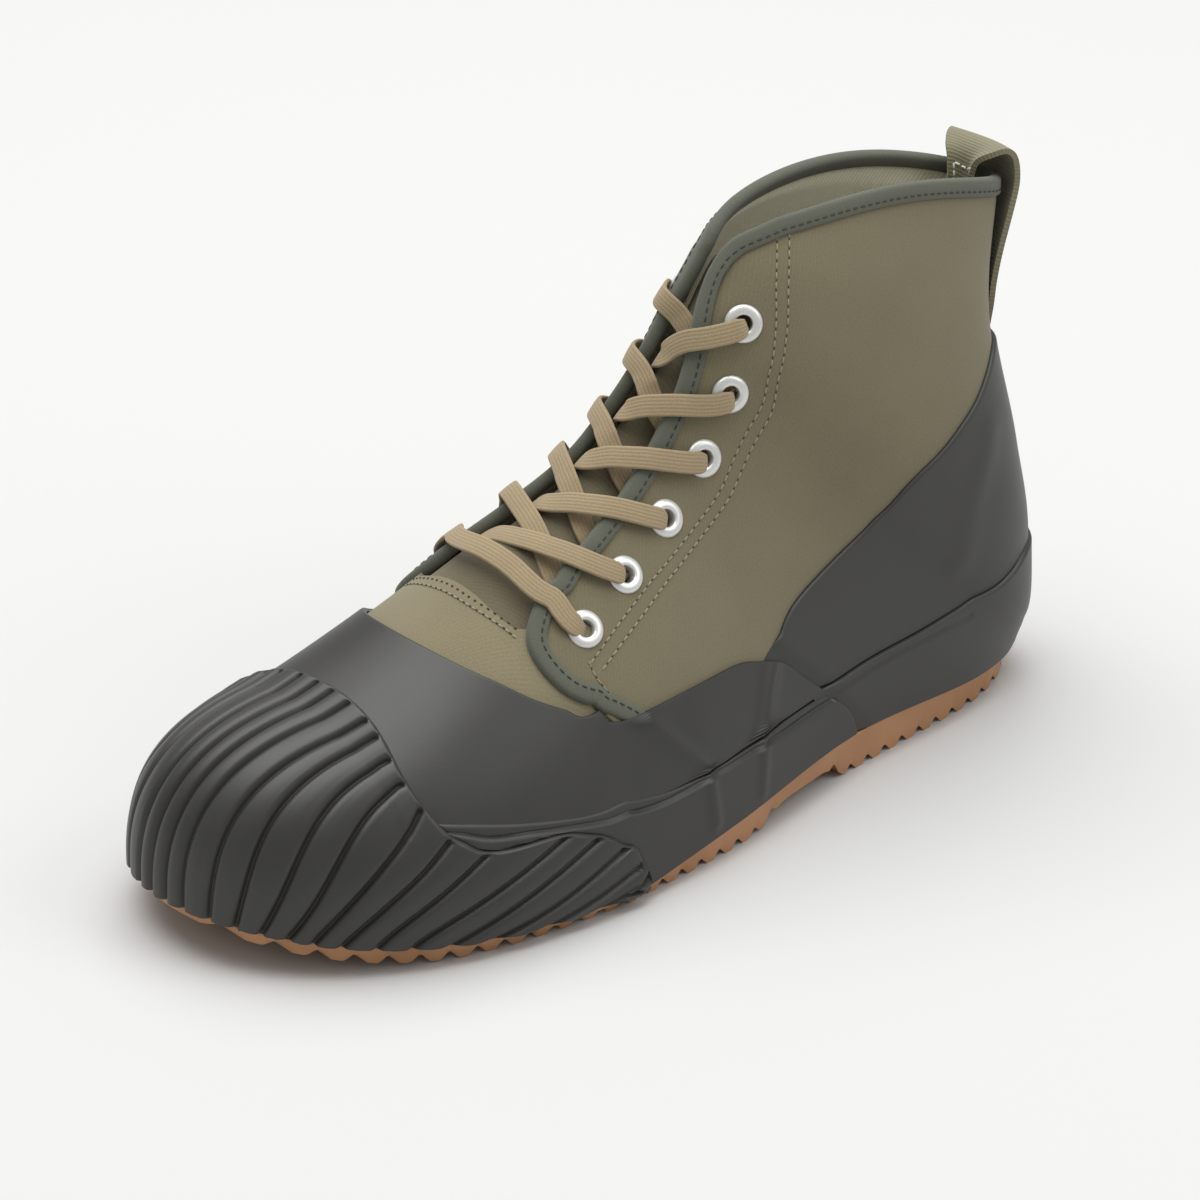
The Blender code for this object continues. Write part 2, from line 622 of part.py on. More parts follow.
def sole_loop(count):
    """Points and normals at an even pace along the foot line, the same number on each side."""
    line, normal = foot_line()
    closed = np.concatenate([line, line[:1]])
    shares = np.arange(count) / count
    points = along_path(closed, closed, shares)
    normals = along_path(closed, np.concatenate([normal, normal[:1]]), shares)
    return points, normals / np.linalg.norm(normals, axis=1, keepdims=True)


def ring_solid(name, rings, finish, root):
    """A solid from closed rings, with its first and last ring closed by strips from side to side."""
    count = len(rings[0])
    points = np.concatenate(rings)
    faces = []
    for level in range(len(rings) - 1):
        for place in range(count):
            after = (place + 1) % count
            start = level * count
            faces.append((start + place, start + after, start + count + after, start + count + place))
    for first in (0, (len(rings) - 1) * count):
        for place in range(count // 2):
            left = (count - place) % count
            corners = (first + place, first + place + 1, first + count - place - 1, first + left)
            faces.append(tuple(dict.fromkeys(corners)))
    faces = [face for face in faces if len(face) > 2]
    return add_object(name, points, faces, finish, root)


def make_outsole(root):
    line, _ = foot_line()
    length = np.linalg.norm(np.diff(line, axis=0), axis=1).sum()
    count = 2 * round(length / SOLE_TOOTH_PITCH)
    points, normals = sole_loop(count)

    back = ramp((points[:, 1:2] - SOLE_HEEL_FROM_Y[0]) / (SOLE_HEEL_FROM_Y[1] - SOLE_HEEL_FROM_Y[0]))
    edge = SOLE_EDGE + (SOLE_HEEL_EDGE - SOLE_EDGE) * back

    def ring(outset, heights):
        made = points + outset * normals
        made[:, 2] = heights(made[:, 1]) if callable(heights) else heights
        return made

    toe, arch = sole_bottom(points[:, 1])
    notch = SOLE_TOOTH_DEPTH * (np.arange(count) % 2) * (arch < SOLE_TOOTHLESS_LIFT)
    rows = np.concatenate([FRONT_STATIONS, FAN_STATIONS[FAN_STATIONS <= HEEL_STATION]])
    foot_y, foot_z = section(rows, True)[:2]
    flange = np.minimum(points[:, 2], np.interp(points[:, 1], foot_y, foot_z)) - SOLE_GAP
    rings = [
        ring(edge - SOLE_UNDERCUT - SOLE_TOOTH_REACH, lambda y: sum(sole_bottom(y))),
        ring(edge - SOLE_UNDERCUT, toe + arch + np.minimum(notch, SOLE_TOOTH_SHARE * (flange - toe - arch))),
        ring(edge, flange),
        ring(-PLATFORM_INSET, flange),
        ring(-PLATFORM_INSET, lambda y: PLATFORM_Z + PLATFORM_TOE_SHARE * sole_bottom(y)[0]),
    ]
    return ring_solid("outsole", rings, "gum", root)


def make_insole(root):
    points, normals = sole_loop(INSOLE_POINTS)
    made = points - INSOLE_INSET * normals
    low = PLATFORM_Z + PLATFORM_TOE_SHARE * sole_bottom(made[:, 1])[0] + GAP
    rings = []
    for height in (0.0, INSOLE_THICK):
        ring = made.copy()
        ring[:, 2] = low + height
        rings.append(ring)
    return ring_solid("insole", rings, "insole", root)


def binding_path():
    """The free edge of throat and collar, from the lateral throat to the medial one."""
    throat = FAN_STATIONS[2:]
    top = throat_girth(COLLAR_STATION, 1)
    collar = top + (1 - top) * GIRTH_SHARES[1:]
    station = np.concatenate([throat, np.full(len(collar), COLLAR_STATION)])
    below = np.concatenate([throat, np.full(len(collar), COLLAR_STATION - BINDING_PROBE_STATION)])
    lateral, medial = (np.concatenate([throat_girth(throat, side), collar]) for side in (1, -1))
    probe = np.concatenate([np.full(len(throat), BINDING_PROBE_GIRTH), np.zeros(len(collar))])
    station = np.concatenate([station, station[-2::-1]])
    below = np.concatenate([below, below[-2::-1]])
    girth = np.concatenate([lateral, -medial[-2::-1]])
    inward = np.concatenate([lateral + probe, -(medial + probe)[-2::-1]])
    return last(station, girth), last_normal(station, girth), last(below, inward)


def make_edge_binding(root):
    edge, normal, inside = binding_path()
    back = len(edge) // 2
    normal[back] = (0.0, 1.0, 0.0)
    tangent = np.gradient(edge, axis=0)
    tangent /= np.linalg.norm(tangent, axis=1, keepdims=True)
    into = np.cross(tangent, normal)
    into *= np.sign(np.sum(into * (inside - edge), axis=1))[:, None]
    into /= np.linalg.norm(into, axis=1, keepdims=True)
    out = QUARTER_STEP + GAP
    under = -CANVAS_WALL - BINDING_UNDER
    profile = (
        (BINDING_WIDTH, out + BINDING_THICK), (-GAP - BINDING_THICK, out + BINDING_THICK),
        (-GAP - BINDING_THICK, under - BINDING_THICK), (BINDING_LIP, under - BINDING_THICK),
        (BINDING_LIP, under), (-GAP, under), (-GAP, out), (BINDING_WIDTH, out),
    )
    lines = [edge + across * into + up * normal for across, up in profile]
    return sweep("edge_binding", lines, "binding", root)


def sweep(name, lines, finish, root):
    """A solid from lines that run side by side around a closed profile, with flat ends."""
    sides = len(lines)
    count = len(lines[0])
    points = np.stack(lines, axis=1).reshape(-1, 3)
    faces = []
    for place in range(count - 1):
        for side in range(sides):
            after = (side + 1) % sides
            start = place * sides
            faces.append((start + side, start + after, start + sides + after, start + sides + side))
    faces += end_caps(sides, (count - 1) * sides)
    return add_object(name, points, faces, finish, root)


def end_caps(sides, last_first):
    """Strips that close the two ends of a swept profile, which is the same from both of its arms."""
    faces = []
    for first in (0, last_first):
        for side in range(sides // 2 - 1):
            near = first + side
            far = first + (sides - 1 - side)
            faces.append((near, near + 1, far - 1, far))
    return faces


def eyelet_seats():
    seats = {}
    for number, (y, z) in enumerate(EYELETS, 1):
        station, girth = place_in_side_view(y, z)
        for side_name, side in (("lateral", 1), ("medial", -1)):
            point = last(station, side * girth)
            normal = last_normal(station, side * girth)
            seats[side_name, number] = (point + (QUARTER_STEP + EYELET_GAP) * normal, normal, station)
    return seats


def make_eyelet(name, seat, root):
    point, normal, _ = seat
    across = np.cross(normal, (0.0, 0.0, 1.0))
    across /= np.linalg.norm(across)
    upward = np.cross(across, normal)
    profile = ((EYELET_BORE, 0.0), (EYELET_RADIUS, 0.0), (EYELET_RADIUS - EYELET_CHAMFER, EYELET_HEIGHT),
               (EYELET_BORE + EYELET_LIP, EYELET_HEIGHT))
    points = []
    for turn in np.linspace(0, 2 * math.pi, EYELET_SIDES, endpoint=False):
        arm = math.cos(turn) * across + math.sin(turn) * upward
        points += [point + radius * arm + height * normal for radius, height in profile]
    faces = []
    width = len(profile)
    for place in range(EYELET_SIDES):
        after = (place + 1) % EYELET_SIDES
        for side in range(width):
            following = (side + 1) % width
            faces.append((place * width + side, place * width + following,
                          after * width + following, after * width + side))
    return add_object(name, points, faces, "eyelet", root)


def strap(name, path, up, width, thick, finish, root):
    """A flat band along a path, with its flat side facing up."""
    tangent = np.gradient(path, axis=0)
    tangent /= np.linalg.norm(tangent, axis=1, keepdims=True)
    across = np.cross(tangent, up)
    across /= np.linalg.norm(across, axis=1, keepdims=True)
    rise = np.cross(across, tangent)
    corners = ((-0.5, 0.0), (0.5, 0.0), (0.5, 1.0), (-0.5, 1.0))
    lines = [path + side * width * across + height * thick * rise for side, height in corners]
    return sweep(name, lines, finish, root)


def through(knots, count):
    """An even number of places along a smooth path through knots, with their shares of its length."""
    knots = np.array(knots)
    length = np.concatenate([[0], np.cumsum(np.linalg.norm(np.diff(knots, axis=0), axis=1))])
    shares = np.linspace(0, 1, count)
    path = [smooth(list(zip(length / length[-1], knots[:, axis])), shares) for axis in range(3)]
    return np.stack(path, -1), shares


def lace_route(start_side, start_number, end_side, end_number, lift, seats):
    """From the tongue beside one throat edge, over the other edge, to the top of an eyelet."""
    side = 1 if end_side == "lateral" else -1
    end_station = seats[end_side, end_number][2]
    start_station = seats[start_side, start_number][2]
    start_station += LACE_START * (end_station - start_station)
    share = np.linspace(0, 1, LACE_POINTS)
    station = start_station + (end_station - start_station) * share
    start_half = float(throat_half(start_station, -side)) - GAP - BINDING_THICK - LACE_WIDTH / 2
    start_half = max(start_half, LACE_NEAR)
    end_half = abs(float(seats[end_side, end_number][0][0]))
    across = (start_half + end_half) * share - start_half
    throat = float(throat_half((start_station + end_station) / 2, side))
    rise = (throat - LACE_BESIDE + start_half) / (start_half + end_half)
    fall = (throat + LACE_BESIDE + start_half) / (start_half + end_half)
    low = TONGUE_OUT + LACE_CLEAR + LACE_BRIDGE * ramp((LACE_NARROW - start_half) / LACE_NARROW)
    over = QUARTER_STEP + 2 * GAP + BINDING_THICK + LACE_CLEAR
    top = QUARTER_STEP + EYELET_GAP + EYELET_HEIGHT + GAP
    height = smooth([(0.0, low), (rise, over), (fall, over), (1.0, top)], share) + lift * (1 - share)
    girth = side * np.sign(across) * girth_at_half(station, np.abs(across))
    normal = last_normal(station, girth)
    return last(station, girth) + height[:, None] * normal, normal


def make_laces(seats, root):
    ends = [seats[side, 1] for side in ("medial", "lateral")]
    tops = [seat + (EYELET_HEIGHT + GAP) * normal for seat, normal, _ in ends]
    station = ends[0][2]
    edges = []
    for side in (-1, 1):
        girth = side * throat_girth(station, side)
        over = QUARTER_STEP + 2 * GAP + BINDING_THICK + LACE_CLEAR
        edges.append(last(station, girth) + over * last_normal(station, girth))
    middle = last(station, 0.0) + (TONGUE_OUT + LACE_CLEAR) * RIDGE_UP
    path, wanted = through([tops[0], edges[0], middle, edges[1], tops[1]], 2 * LACE_POINTS - 1)
    tilt = 1 - np.abs(2 * wanted - 1)[:, None]
    side_up = np.where(wanted[:, None] < 0.5, ends[0][1][None], ends[1][1][None])
    strap("lace_bar", path, side_up * (1 - tilt) + RIDGE_UP * tilt, LACE_WIDTH, LACE_THICK, "lace", root)
    for number in range(1, len(EYELETS)):
        path, up = lace_route("lateral", number, "medial", number + 1, 0.0, seats)
        under = strap(f"lace_crossing_{number}", path, up, LACE_WIDTH, LACE_THICK, "lace", root)
        path, up = lace_route("medial", number, "lateral", number + 1, LACE_STACK, seats)
        over = strap(f"lace_over_{number}", path, up, LACE_WIDTH, LACE_THICK, "lace", root)
        over.hide_render = True
        over.display_type = "WIRE"
        joined = under.modifiers.new("joined", "BOOLEAN")
        joined.operation = "UNION"
        joined.object = over


def back_station(height):
    """The station whose foot is on the back seam at a height."""
    return smooth([(row[2], row[0]) for row in LAST_ROWS if row[0] > HEEL_STATION], height)


def around_heel(height, stand_off, across):
    """A point that far off the last, at an arc length from the back seam."""
    station = float(back_station(height))
    girth = np.linspace(1.0, LOOP_ARC_GIRTH, EDGE_SAMPLES)
    arc = last(np.full(EDGE_SAMPLES, station), girth)
    length = np.concatenate([[0], np.cumsum(np.linalg.norm(np.diff(arc, axis=0), axis=1))])
    place = np.interp(abs(across), length, girth) * (1 if across > 0 else -1)
    seat = last(station, place)
    normal = last_normal(station, place) if across else np.array((0.0, 1.0, 0.0))
    above = np.array((0.0, 0.0, max(height - LAST_ROWS[-1][2], 0.0)))
    return seat + stand_off * normal + above


def make_pull_loop(root):
    places = np.linspace(0, 1, len(LOOP_ROWS))
    wanted = np.linspace(0, 1, LOOP_LENGTHS)
    height, stand_off, wrap = (
        smooth(list(zip(places, [row[column] for row in LOOP_ROWS])), wanted)
        for column in range(len(LOOP_COLUMNS))
    )
    columns = np.linspace(-0.5, 0.5, LOOP_STRANDS) * LOOP_WIDTH
    outer = np.empty((len(wanted), len(columns), 3))
    for row in range(len(wanted)):
        for column, across in enumerate(columns):
            wrapped = around_heel(height[row], stand_off[row], across)
            middle = around_heel(height[row], stand_off[row], 0.0)
            flat = np.array((across, middle[1], height[row]))
            outer[row, column] = wrap[row] * wrapped + (1 - wrap[row]) * flat
    normal = np.cross(np.gradient(outer, axis=1), np.gradient(outer, axis=0))
    normal /= np.linalg.norm(normal, axis=2, keepdims=True)
    inner = outer + LOOP_THICK * normal
    lines = list(np.moveaxis(outer, 1, 0)) + list(np.moveaxis(inner, 1, 0))[::-1]
    return sweep("pull_loop", lines, "canvas", root)


def clear_scene():
    for found in list(bpy.data.objects):
        bpy.data.objects.remove(found, do_unlink=True)


def stand_in_the_middle(root):
    """Moves the boot so that its box is centred over the origin and stands on z = 0."""
    bpy.context.view_layer.update()
    corners = [made.matrix_world @ vertex.co
               for made in root.children if not made.hide_render for vertex in made.data.vertices]
    low = [min(corner[axis] for corner in corners) for axis in range(3)]
    high = [max(corner[axis] for corner in corners) for axis in range(3)]
    root.location = (-(low[0] + high[0]) / 2, -(low[1] + high[1]) / 2, -low[2])


def main():
    clear_scene()
    root = bpy.data.objects.new("boot", None)
    bpy.context.scene.collection.objects.link(root)
    make_outsole(root)
    make_insole(root)
    make_upper(root)
    make_tongue(root)
    make_toe_cap(root)
    make_mudguard(root)
    make_heel_counter(root)
    make_foxing_strip("foxing_lateral", 1, root)
    make_foxing_strip("foxing_medial", -1, root)
    make_foxing_rear(root)
    make_edge_binding(root)
    seats = eyelet_seats()
    for (side, number), seat in seats.items():
        make_eyelet(f"eyelet_{side}_{number}", seat, root)
    make_laces(seats, root)
    make_pull_loop(root)
    stand_in_the_middle(root)


main()
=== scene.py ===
"""Looks of a lace-up canvas and rubber ankle boot for the left foot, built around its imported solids.

The sizes are in millimetres in the boot's own frame, and the meshes in metres. The toe points to -Y and the
outer, lateral side to +X. Every soft piece is cut from the same last surface as the solids.
"""

import math

import bmesh
import bpy
import numpy as np
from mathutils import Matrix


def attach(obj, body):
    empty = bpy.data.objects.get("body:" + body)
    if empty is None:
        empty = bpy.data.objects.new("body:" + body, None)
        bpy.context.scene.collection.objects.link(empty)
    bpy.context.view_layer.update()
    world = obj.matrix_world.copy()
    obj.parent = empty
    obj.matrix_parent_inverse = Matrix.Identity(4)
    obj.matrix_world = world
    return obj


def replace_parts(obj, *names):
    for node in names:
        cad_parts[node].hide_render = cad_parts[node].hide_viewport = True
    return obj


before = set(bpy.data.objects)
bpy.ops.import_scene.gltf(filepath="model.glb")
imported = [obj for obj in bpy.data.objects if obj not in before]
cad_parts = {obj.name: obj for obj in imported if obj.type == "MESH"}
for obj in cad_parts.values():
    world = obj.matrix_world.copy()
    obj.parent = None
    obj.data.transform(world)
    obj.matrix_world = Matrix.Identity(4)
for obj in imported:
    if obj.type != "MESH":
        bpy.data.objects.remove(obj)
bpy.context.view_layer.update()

MM = 0.001
HALVINGS = 40
TINY = 1e-6
NORMAL_STEP = 0.002
STEPS_PER_ROW = 20
MERGE_DIGITS = 3
# How far the solids were moved to stand in the middle of their box
SHIFT = np.array((-0.844, 3.757, 0.0))

# Camera, in the boot's frame
CAMERA = np.array((944.97, -790.79, 650.82))
CAMERA_AIM = np.array((1.0, -8.0, 56.0))
CAMERA_LENS = 158.0
SENSOR = 36.0

# The last: plan, toe spring and ridge of the forefoot
TOE_Y = -140.0
BALL_Y = -40.0
BALL_LATERAL = 51.5
BALL_MEDIAL = 49.7
TOE_INFLARE = -7.2
PLAN_ALONG = 2.95
PLAN_ACROSS = 2.05
BALL_FOOT_Z = 3.5
TOE_SPRING = 9.6
SPRING_POWER = 2.4
RIDGE_BALL_Z = 83.5
RIDGE_VAMP_Z = 54.7
RIDGE_TOE_FALL = 4.0
RIDGE_RUN = 0.62
RIDGE_POWER = 1.35
PROFILE_ALONG = 6.2
PROFILE_UP = 2.4
TOE_CROWN = 2.5
TOE_FLANK = 2.3
TOE_BLEND = 0.6

# The last: sections that fan from the ball to the collar
COLLAR_FRONT_Y = 33.5
COLLAR_FRONT_Z = 147.0
INSTEP_HOLLOW = 6.5
HEEL_STATION = 1.85
COLLAR_STATION = 3.0
CLOSE_POWER = 8.0
COLLAR_ARCH = 6.8
COLLAR_ARCH_FROM = 2.3
FAN_PACE = 200.0
LAST_COLUMNS = ("station", "foot_y", "foot_z", "head", "lateral", "medial", "close", "crown", "flank")
LAST_ROWS = (
    (1.00, BALL_Y, BALL_FOOT_Z, 0.00, BALL_LATERAL, BALL_MEDIAL, 0.00, 1.60, 1.75),
    (1.20, -0.3, 9.1, 0.13, 46.4, 41.0, 0.00, 1.75, 1.75),
    (1.40, 50.2, 12.1, 0.30, 34.6, 30.2, 0.03, 2.10, 1.80),
    (1.60, 100.5, 10.1, 0.47, 29.2, 29.0, 0.12, 2.50, 1.85),
    (1.75, 121.8, 9.9, 0.60, 28.6, 28.4, 0.60, 2.80, 1.90),
    (HEEL_STATION, 132.2, 10.2, 0.68, 29.4, 29.2, 1.00, 3.10, 1.95),
    (2.00, 133.1, 34.0, 0.75, 30.0, 29.8, 1.00, 3.30, 2.00),
    (2.25, 127.5, 66.0, 0.83, 28.6, 28.4, 1.00, 3.60, 2.00),
    (2.60, 119.8, 104.0, 0.92, 23.4, 23.4, 1.00, 3.80, 2.00),
    (COLLAR_STATION, 126.4, 139.4, 1.00, 13.8, 14.8, 1.00, 4.00, 2.00),
)

# Edges of the rubber, as girth (0 on the ridge, 1 at the foot) and station
CAP_EDGE = ((0.00, 0.752), (0.20, 0.728), (0.36, 0.742), (0.51, 0.78), (0.62, 0.85), (0.66, 0.92),
            (0.73, 0.97), (0.84, 1.00), (1.00, 1.02))
MUDGUARD_FRONT = ((0.00, 0.752), (0.20, 0.728), (0.36, 0.742), (0.44, 0.77), (0.50, 0.85), (0.61, 0.94),
                  (0.71, 1.00), (0.75, 1.06), (0.79, 1.17), (0.81, 1.26), (0.825, 1.37))
MUDGUARD_TOP = ((0.00, 0.885), (0.08, 0.907), (0.16, 0.93), (0.25, 0.953), (0.35, 0.98), (0.43, 1.00),
                (0.50, 1.05), (0.55, 1.22), (0.59, 1.315), (0.63, 1.352),
                (0.66, 1.375), (0.74, 1.392), (0.825, 1.405))
# Edges of the rubber, as station and girth
FOXING_TOP = ((0.77, 0.44), (0.85, 0.50), (0.94, 0.61), (1.00, 0.71), (1.06, 0.75), (1.17, 0.79),
              (1.26, 0.81), (1.40, 0.83))
FOXING_REAR_TOP = ((1.41, 0.818), (1.505, 0.795), (1.614, 0.785), (1.714, 0.78), (1.843, 0.777),
                   (1.945, 0.855), (2.05, 1.00))
COUNTER_TOP = ((1.385, 0.64), (1.42, 0.59), (1.48, 0.54), (1.585, 0.50), (1.718, 0.48), (1.868, 0.465),
               (2.006, 0.53), (2.194, 0.64), (2.33, 0.735), (2.45, 0.83), (2.53, 0.91), (2.57, 1.00))
COVERED_FROM = ((1.00, 0.43), (1.05, 0.50), (1.22, 0.55), (1.37, 0.645), (1.48, 0.54), (1.74, 0.475),
                (1.88, 0.465), (2.04, 0.545), (2.33, 0.735), (2.58, 1.00), (COLLAR_STATION, 1.20))
# Half of the throat's width, by station
THROAT_HALF = ((0.985, 21.5), (1.06, 18.4), (1.23, 15.4), (1.40, 12.2), (1.60, 8.8), (1.80, 6.6),
               (2.04, 5.0), (2.30, 4.2), (2.60, 4.0), (2.80, 4.6), (2.92, 6.2), (COLLAR_STATION, 9.0))
# What the throat is wider on the lateral side, by station
THROAT_LEAN = ((0.985, 0.0), (1.23, 0.5), (1.44, 0.7), (1.60, 1.2), (1.74, 1.6), (1.82, 1.5),
               (1.90, 1.1), (2.04, 0.5), (2.30, -0.6), (2.50, -1.0), (2.65, -0.9), (2.80, -0.4),
               (COLLAR_STATION, 0.0))
# The quarter's front edge, from the foot round the tip to the throat, as run from the ball and girth
QUARTER_FRONT = ((34.0, 1.00), (30.0, 0.82), (24.0, 0.66), (16.0, 0.54), (7.5, 0.465), (1.2, 0.42),
                 (-3.8, 0.36), (-7.6, 0.295), (-9.6, 0.235), (-10.3, 0.185), (-9.5, 0.15), (-6.8, 0.128),
                 (-2.6, 0.115), (3.4, 0.110))
QUARTER_FROM = 1.06
# The vamp's rear edge, as girth and run from the ball
VAMP_REAR = ((0.00, -13.8), (0.06, -13.0), (0.11, -10.8), (0.15, -5.0), (0.20, 8.0), (0.45, 18.0),
             (1.00, 44.0))

# How soon the canvas thins towards its edges and sinks under rubber, and a gap between sheets, in girth
EDGE_TAPER = 0.1
QUARTER_FADE = 0.03
EDGE_GIRTH_GAP = 0.005
# Walls, and offsets from the last
CANVAS_WALL = 2.0
EDGE_WALL = 0.9
QUARTER_OUT = 0.8
COVERED_OUT = -0.6
MUDGUARD_IN = 0.45
MUDGUARD_OUT = 1.95
COUNTER_IN = 0.85
COUNTER_OUT = 2.0
FOXING_IN = 0.9
FOXING_OUT = 3.3
FOXING_REAR_OUT = 3.0
CAP_IN = 0.6
CAP_GROOVE_OUT = 3.1
CAP_RIB_OUT = 4.7

# Eyelets, by place in side view
EYELETS = ((-35.5, 66.2), (-19.0, 74.8), (-1.4, 83.6), (13.9, 95.0), (23.6, 110.0), (29.2, 127.5))
# Radius of the holes in the canvas
EYELET_CUT = 3.6


def smooth(rows, at):
    """A cubic through rows of (place, value), with each slope taken from the neighbours."""
    places, values = np.array(rows, float).T
    at = np.clip(np.asarray(at, float), places[0], places[-1])
    steps = np.diff(places)
    rises = np.diff(values) / steps
    slopes = np.empty(len(places))
    slopes[1:-1] = (rises[:-1] * steps[1:] + rises[1:] * steps[:-1]) / (steps[:-1] + steps[1:])
    slopes[0] = rises[0]
    slopes[-1] = rises[-1]
    row = np.clip(np.searchsorted(places, at, side="right") - 1, 0, len(places) - 2)
    step = steps[row]
    share = (at - places[row]) / step
    rest = 1 - share
    ends = (1 + 2 * share) * rest**2 * values[row] + share**2 * (3 - 2 * share) * values[row + 1]
    return ends + step * share * rest * (rest * slopes[row] - share * slopes[row + 1])


def ramp(value):
    value = np.clip(value, 0.0, 1.0)
    return value * value * (3 - 2 * value)


def unit(vectors):
    return vectors / np.maximum(np.linalg.norm(vectors, axis=-1, keepdims=True), TINY)


def signed_power(value, power):
    return np.sign(value) * np.abs(value) ** power


def smooth_columns(rows, at, places=None):
    """Cubics through the columns of a table, whose rows lie evenly from 0 to 1 or at these places."""
    places = np.linspace(0, 1, len(rows)) if places is None else places
    return [smooth(list(zip(places, column)), at) for column in zip(*rows)]


def lengths(points):
    """Length along a polyline at each of its points."""
    return np.concatenate([[0], np.cumsum(np.linalg.norm(np.diff(points, axis=0), axis=1))])


def sampled(at, places, vectors):
    """Vectors at these places, straight between the places that they are given for."""
    return np.stack([np.interp(at, places, vectors[:, axis]) for axis in range(3)], -1)


def last_column(name, station):
    place = LAST_COLUMNS.index(name)
    return smooth([(row[0], row[place]) for row in LAST_ROWS], station)


def forefoot(station):
    """Shape of a section before the ball: how far towards the toe, and its share of the ball's width."""
    turn = (1 - np.clip(station, 0.0, 1.0)) * math.pi / 2
    along = np.sin(turn) ** (2 / PLAN_ALONG)
    across = np.maximum(np.cos(turn), 0.0) ** (2 / PLAN_ACROSS)
    return along, across


def instep(share):
    """The instep line from ball to collar, a little hollow in the middle."""
    run = COLLAR_FRONT_Y - BALL_Y
    rise = COLLAR_FRONT_Z - RIDGE_BALL_Z
    hollow = 4 * INSTEP_HOLLOW * share * (1 - share) / math.hypot(run, rise)
    return BALL_Y + run * share + rise * hollow, RIDGE_BALL_Z + rise * share - run * hollow


def section(station, lateral):
    """Foot, head, half width, close, crown, flank and centre of the sections at these stations."""
    station = np.asarray(station, float)
    fan = station >= 1
    along, across = forefoot(station)
    foot_y = np.where(fan, last_column("foot_y", station), BALL_Y + (TOE_Y - BALL_Y) * along)
    low = BALL_FOOT_Z + TOE_SPRING * along**SPRING_POWER
    foot_z = np.where(fan, last_column("foot_z", station), low)
    instep_y, instep_z = instep(last_column("head", station))
    head_y = np.where(fan, instep_y, foot_y)
    rise = (RIDGE_BALL_Z - RIDGE_VAMP_Z) * np.clip(1 - along / RIDGE_RUN, 0, 1) ** RIDGE_POWER
    ridge = RIDGE_VAMP_Z + rise - RIDGE_TOE_FALL * along
    ridge = low + (ridge - low) * np.maximum(1 - along**PROFILE_ALONG, 0.0) ** (1 / PROFILE_UP)
    head_z = np.where(fan, instep_z, ridge)
    ball = np.where(lateral, BALL_LATERAL, BALL_MEDIAL)
    fan_half = np.where(lateral, last_column("lateral", station), last_column("medial", station))
    half = np.where(fan, fan_half, ball * across)
    blend = np.clip(along / TOE_BLEND, 0, 1)
    crown = last_column("crown", station)
    crown = np.where(fan, crown, crown + (TOE_CROWN - crown) * blend)
    flank = last_column("flank", station)
    flank = np.where(fan, flank, flank + (TOE_FLANK - flank) * blend)
    close = np.where(fan, np.clip(last_column("close", station), 0, 1), 0.0)
    centre = np.where(fan, 0.0, TOE_INFLARE * along**2)
    return foot_y, foot_z, head_y, head_z, half, close, crown, flank, centre


def last(station, girth):
    """Points of the last. Girth is -1 at the medial foot, 0 on the ridge and 1 at the lateral foot."""
    station, girth = np.broadcast_arrays(np.asarray(station, float), np.asarray(girth, float))
    foot_y, foot_z, head_y, head_z, half, close, crown, flank, centre = section(station, girth >= 0)
    up = 1 - np.abs(girth)
    width = half * np.maximum(1 - up**crown, 0.0) ** (1 / flank)
    width = width * np.sqrt(np.maximum(1 - close * (1 - up) ** CLOSE_POWER, 0.0))
    arch = COLLAR_ARCH * ramp((station - COLLAR_ARCH_FROM) / (COLLAR_STATION - COLLAR_ARCH_FROM))
    return np.stack([
        centre + np.sign(girth) * width,
        foot_y + up * (head_y - foot_y),
        foot_z + up * (head_z - foot_z) + arch * np.sin(math.pi * up),
    ], -1)


def last_normal(station, girth):
    """Outward normals of the last. None points down, so that no sheet reaches under the foot line."""
    station, girth = np.broadcast_arrays(np.asarray(station, float), np.asarray(girth, float))
    before = np.clip(station - NORMAL_STEP, NORMAL_STEP, COLLAR_STATION)
    after = np.clip(station + NORMAL_STEP, 2 * NORMAL_STEP, COLLAR_STATION)
    along = last(after, girth) - last(before, girth)
    here = np.maximum(station, NORMAL_STEP)
    around = (last(here, np.clip(girth + NORMAL_STEP, -1, 1))
              - last(here, np.clip(girth - NORMAL_STEP, -1, 1)))
    normal = np.cross(around, along)
    normal[..., 2] = np.maximum(normal[..., 2], 0)
    return unit(normal)


def girth_at_half(station, half_gap):
    """The girth at which a section is half_gap from the middle."""
    half = np.where(np.asarray(station) >= 1, last_column("lateral", station),
                    BALL_LATERAL * forefoot(station)[1])
    crown, flank = section(station, True)[6:8]
    return 1 - np.maximum(1 - (half_gap / half) ** flank, 0.0) ** (1 / crown)


def throat_half(station, side):
    """Distance from the middle to the throat's edge on one side."""
    return smooth(THROAT_HALF, station) + smooth(THROAT_LEAN, station) * (side > 0)


def throat_girth(station, side):
    return girth_at_half(station, throat_half(station, side))


def station_of(run):
    """Station at a run, in millimetres from the ball and negative towards the toe."""
    run = np.asarray(run, float)
    ahead = np.clip(-run / (BALL_Y - TOE_Y), 0, 1)
    turn = np.arcsin(ahead ** (PLAN_ALONG / 2))
    return np.where(run < 0, 1 - turn / (math.pi / 2), 1 + np.maximum(run, 0) / FAN_PACE)


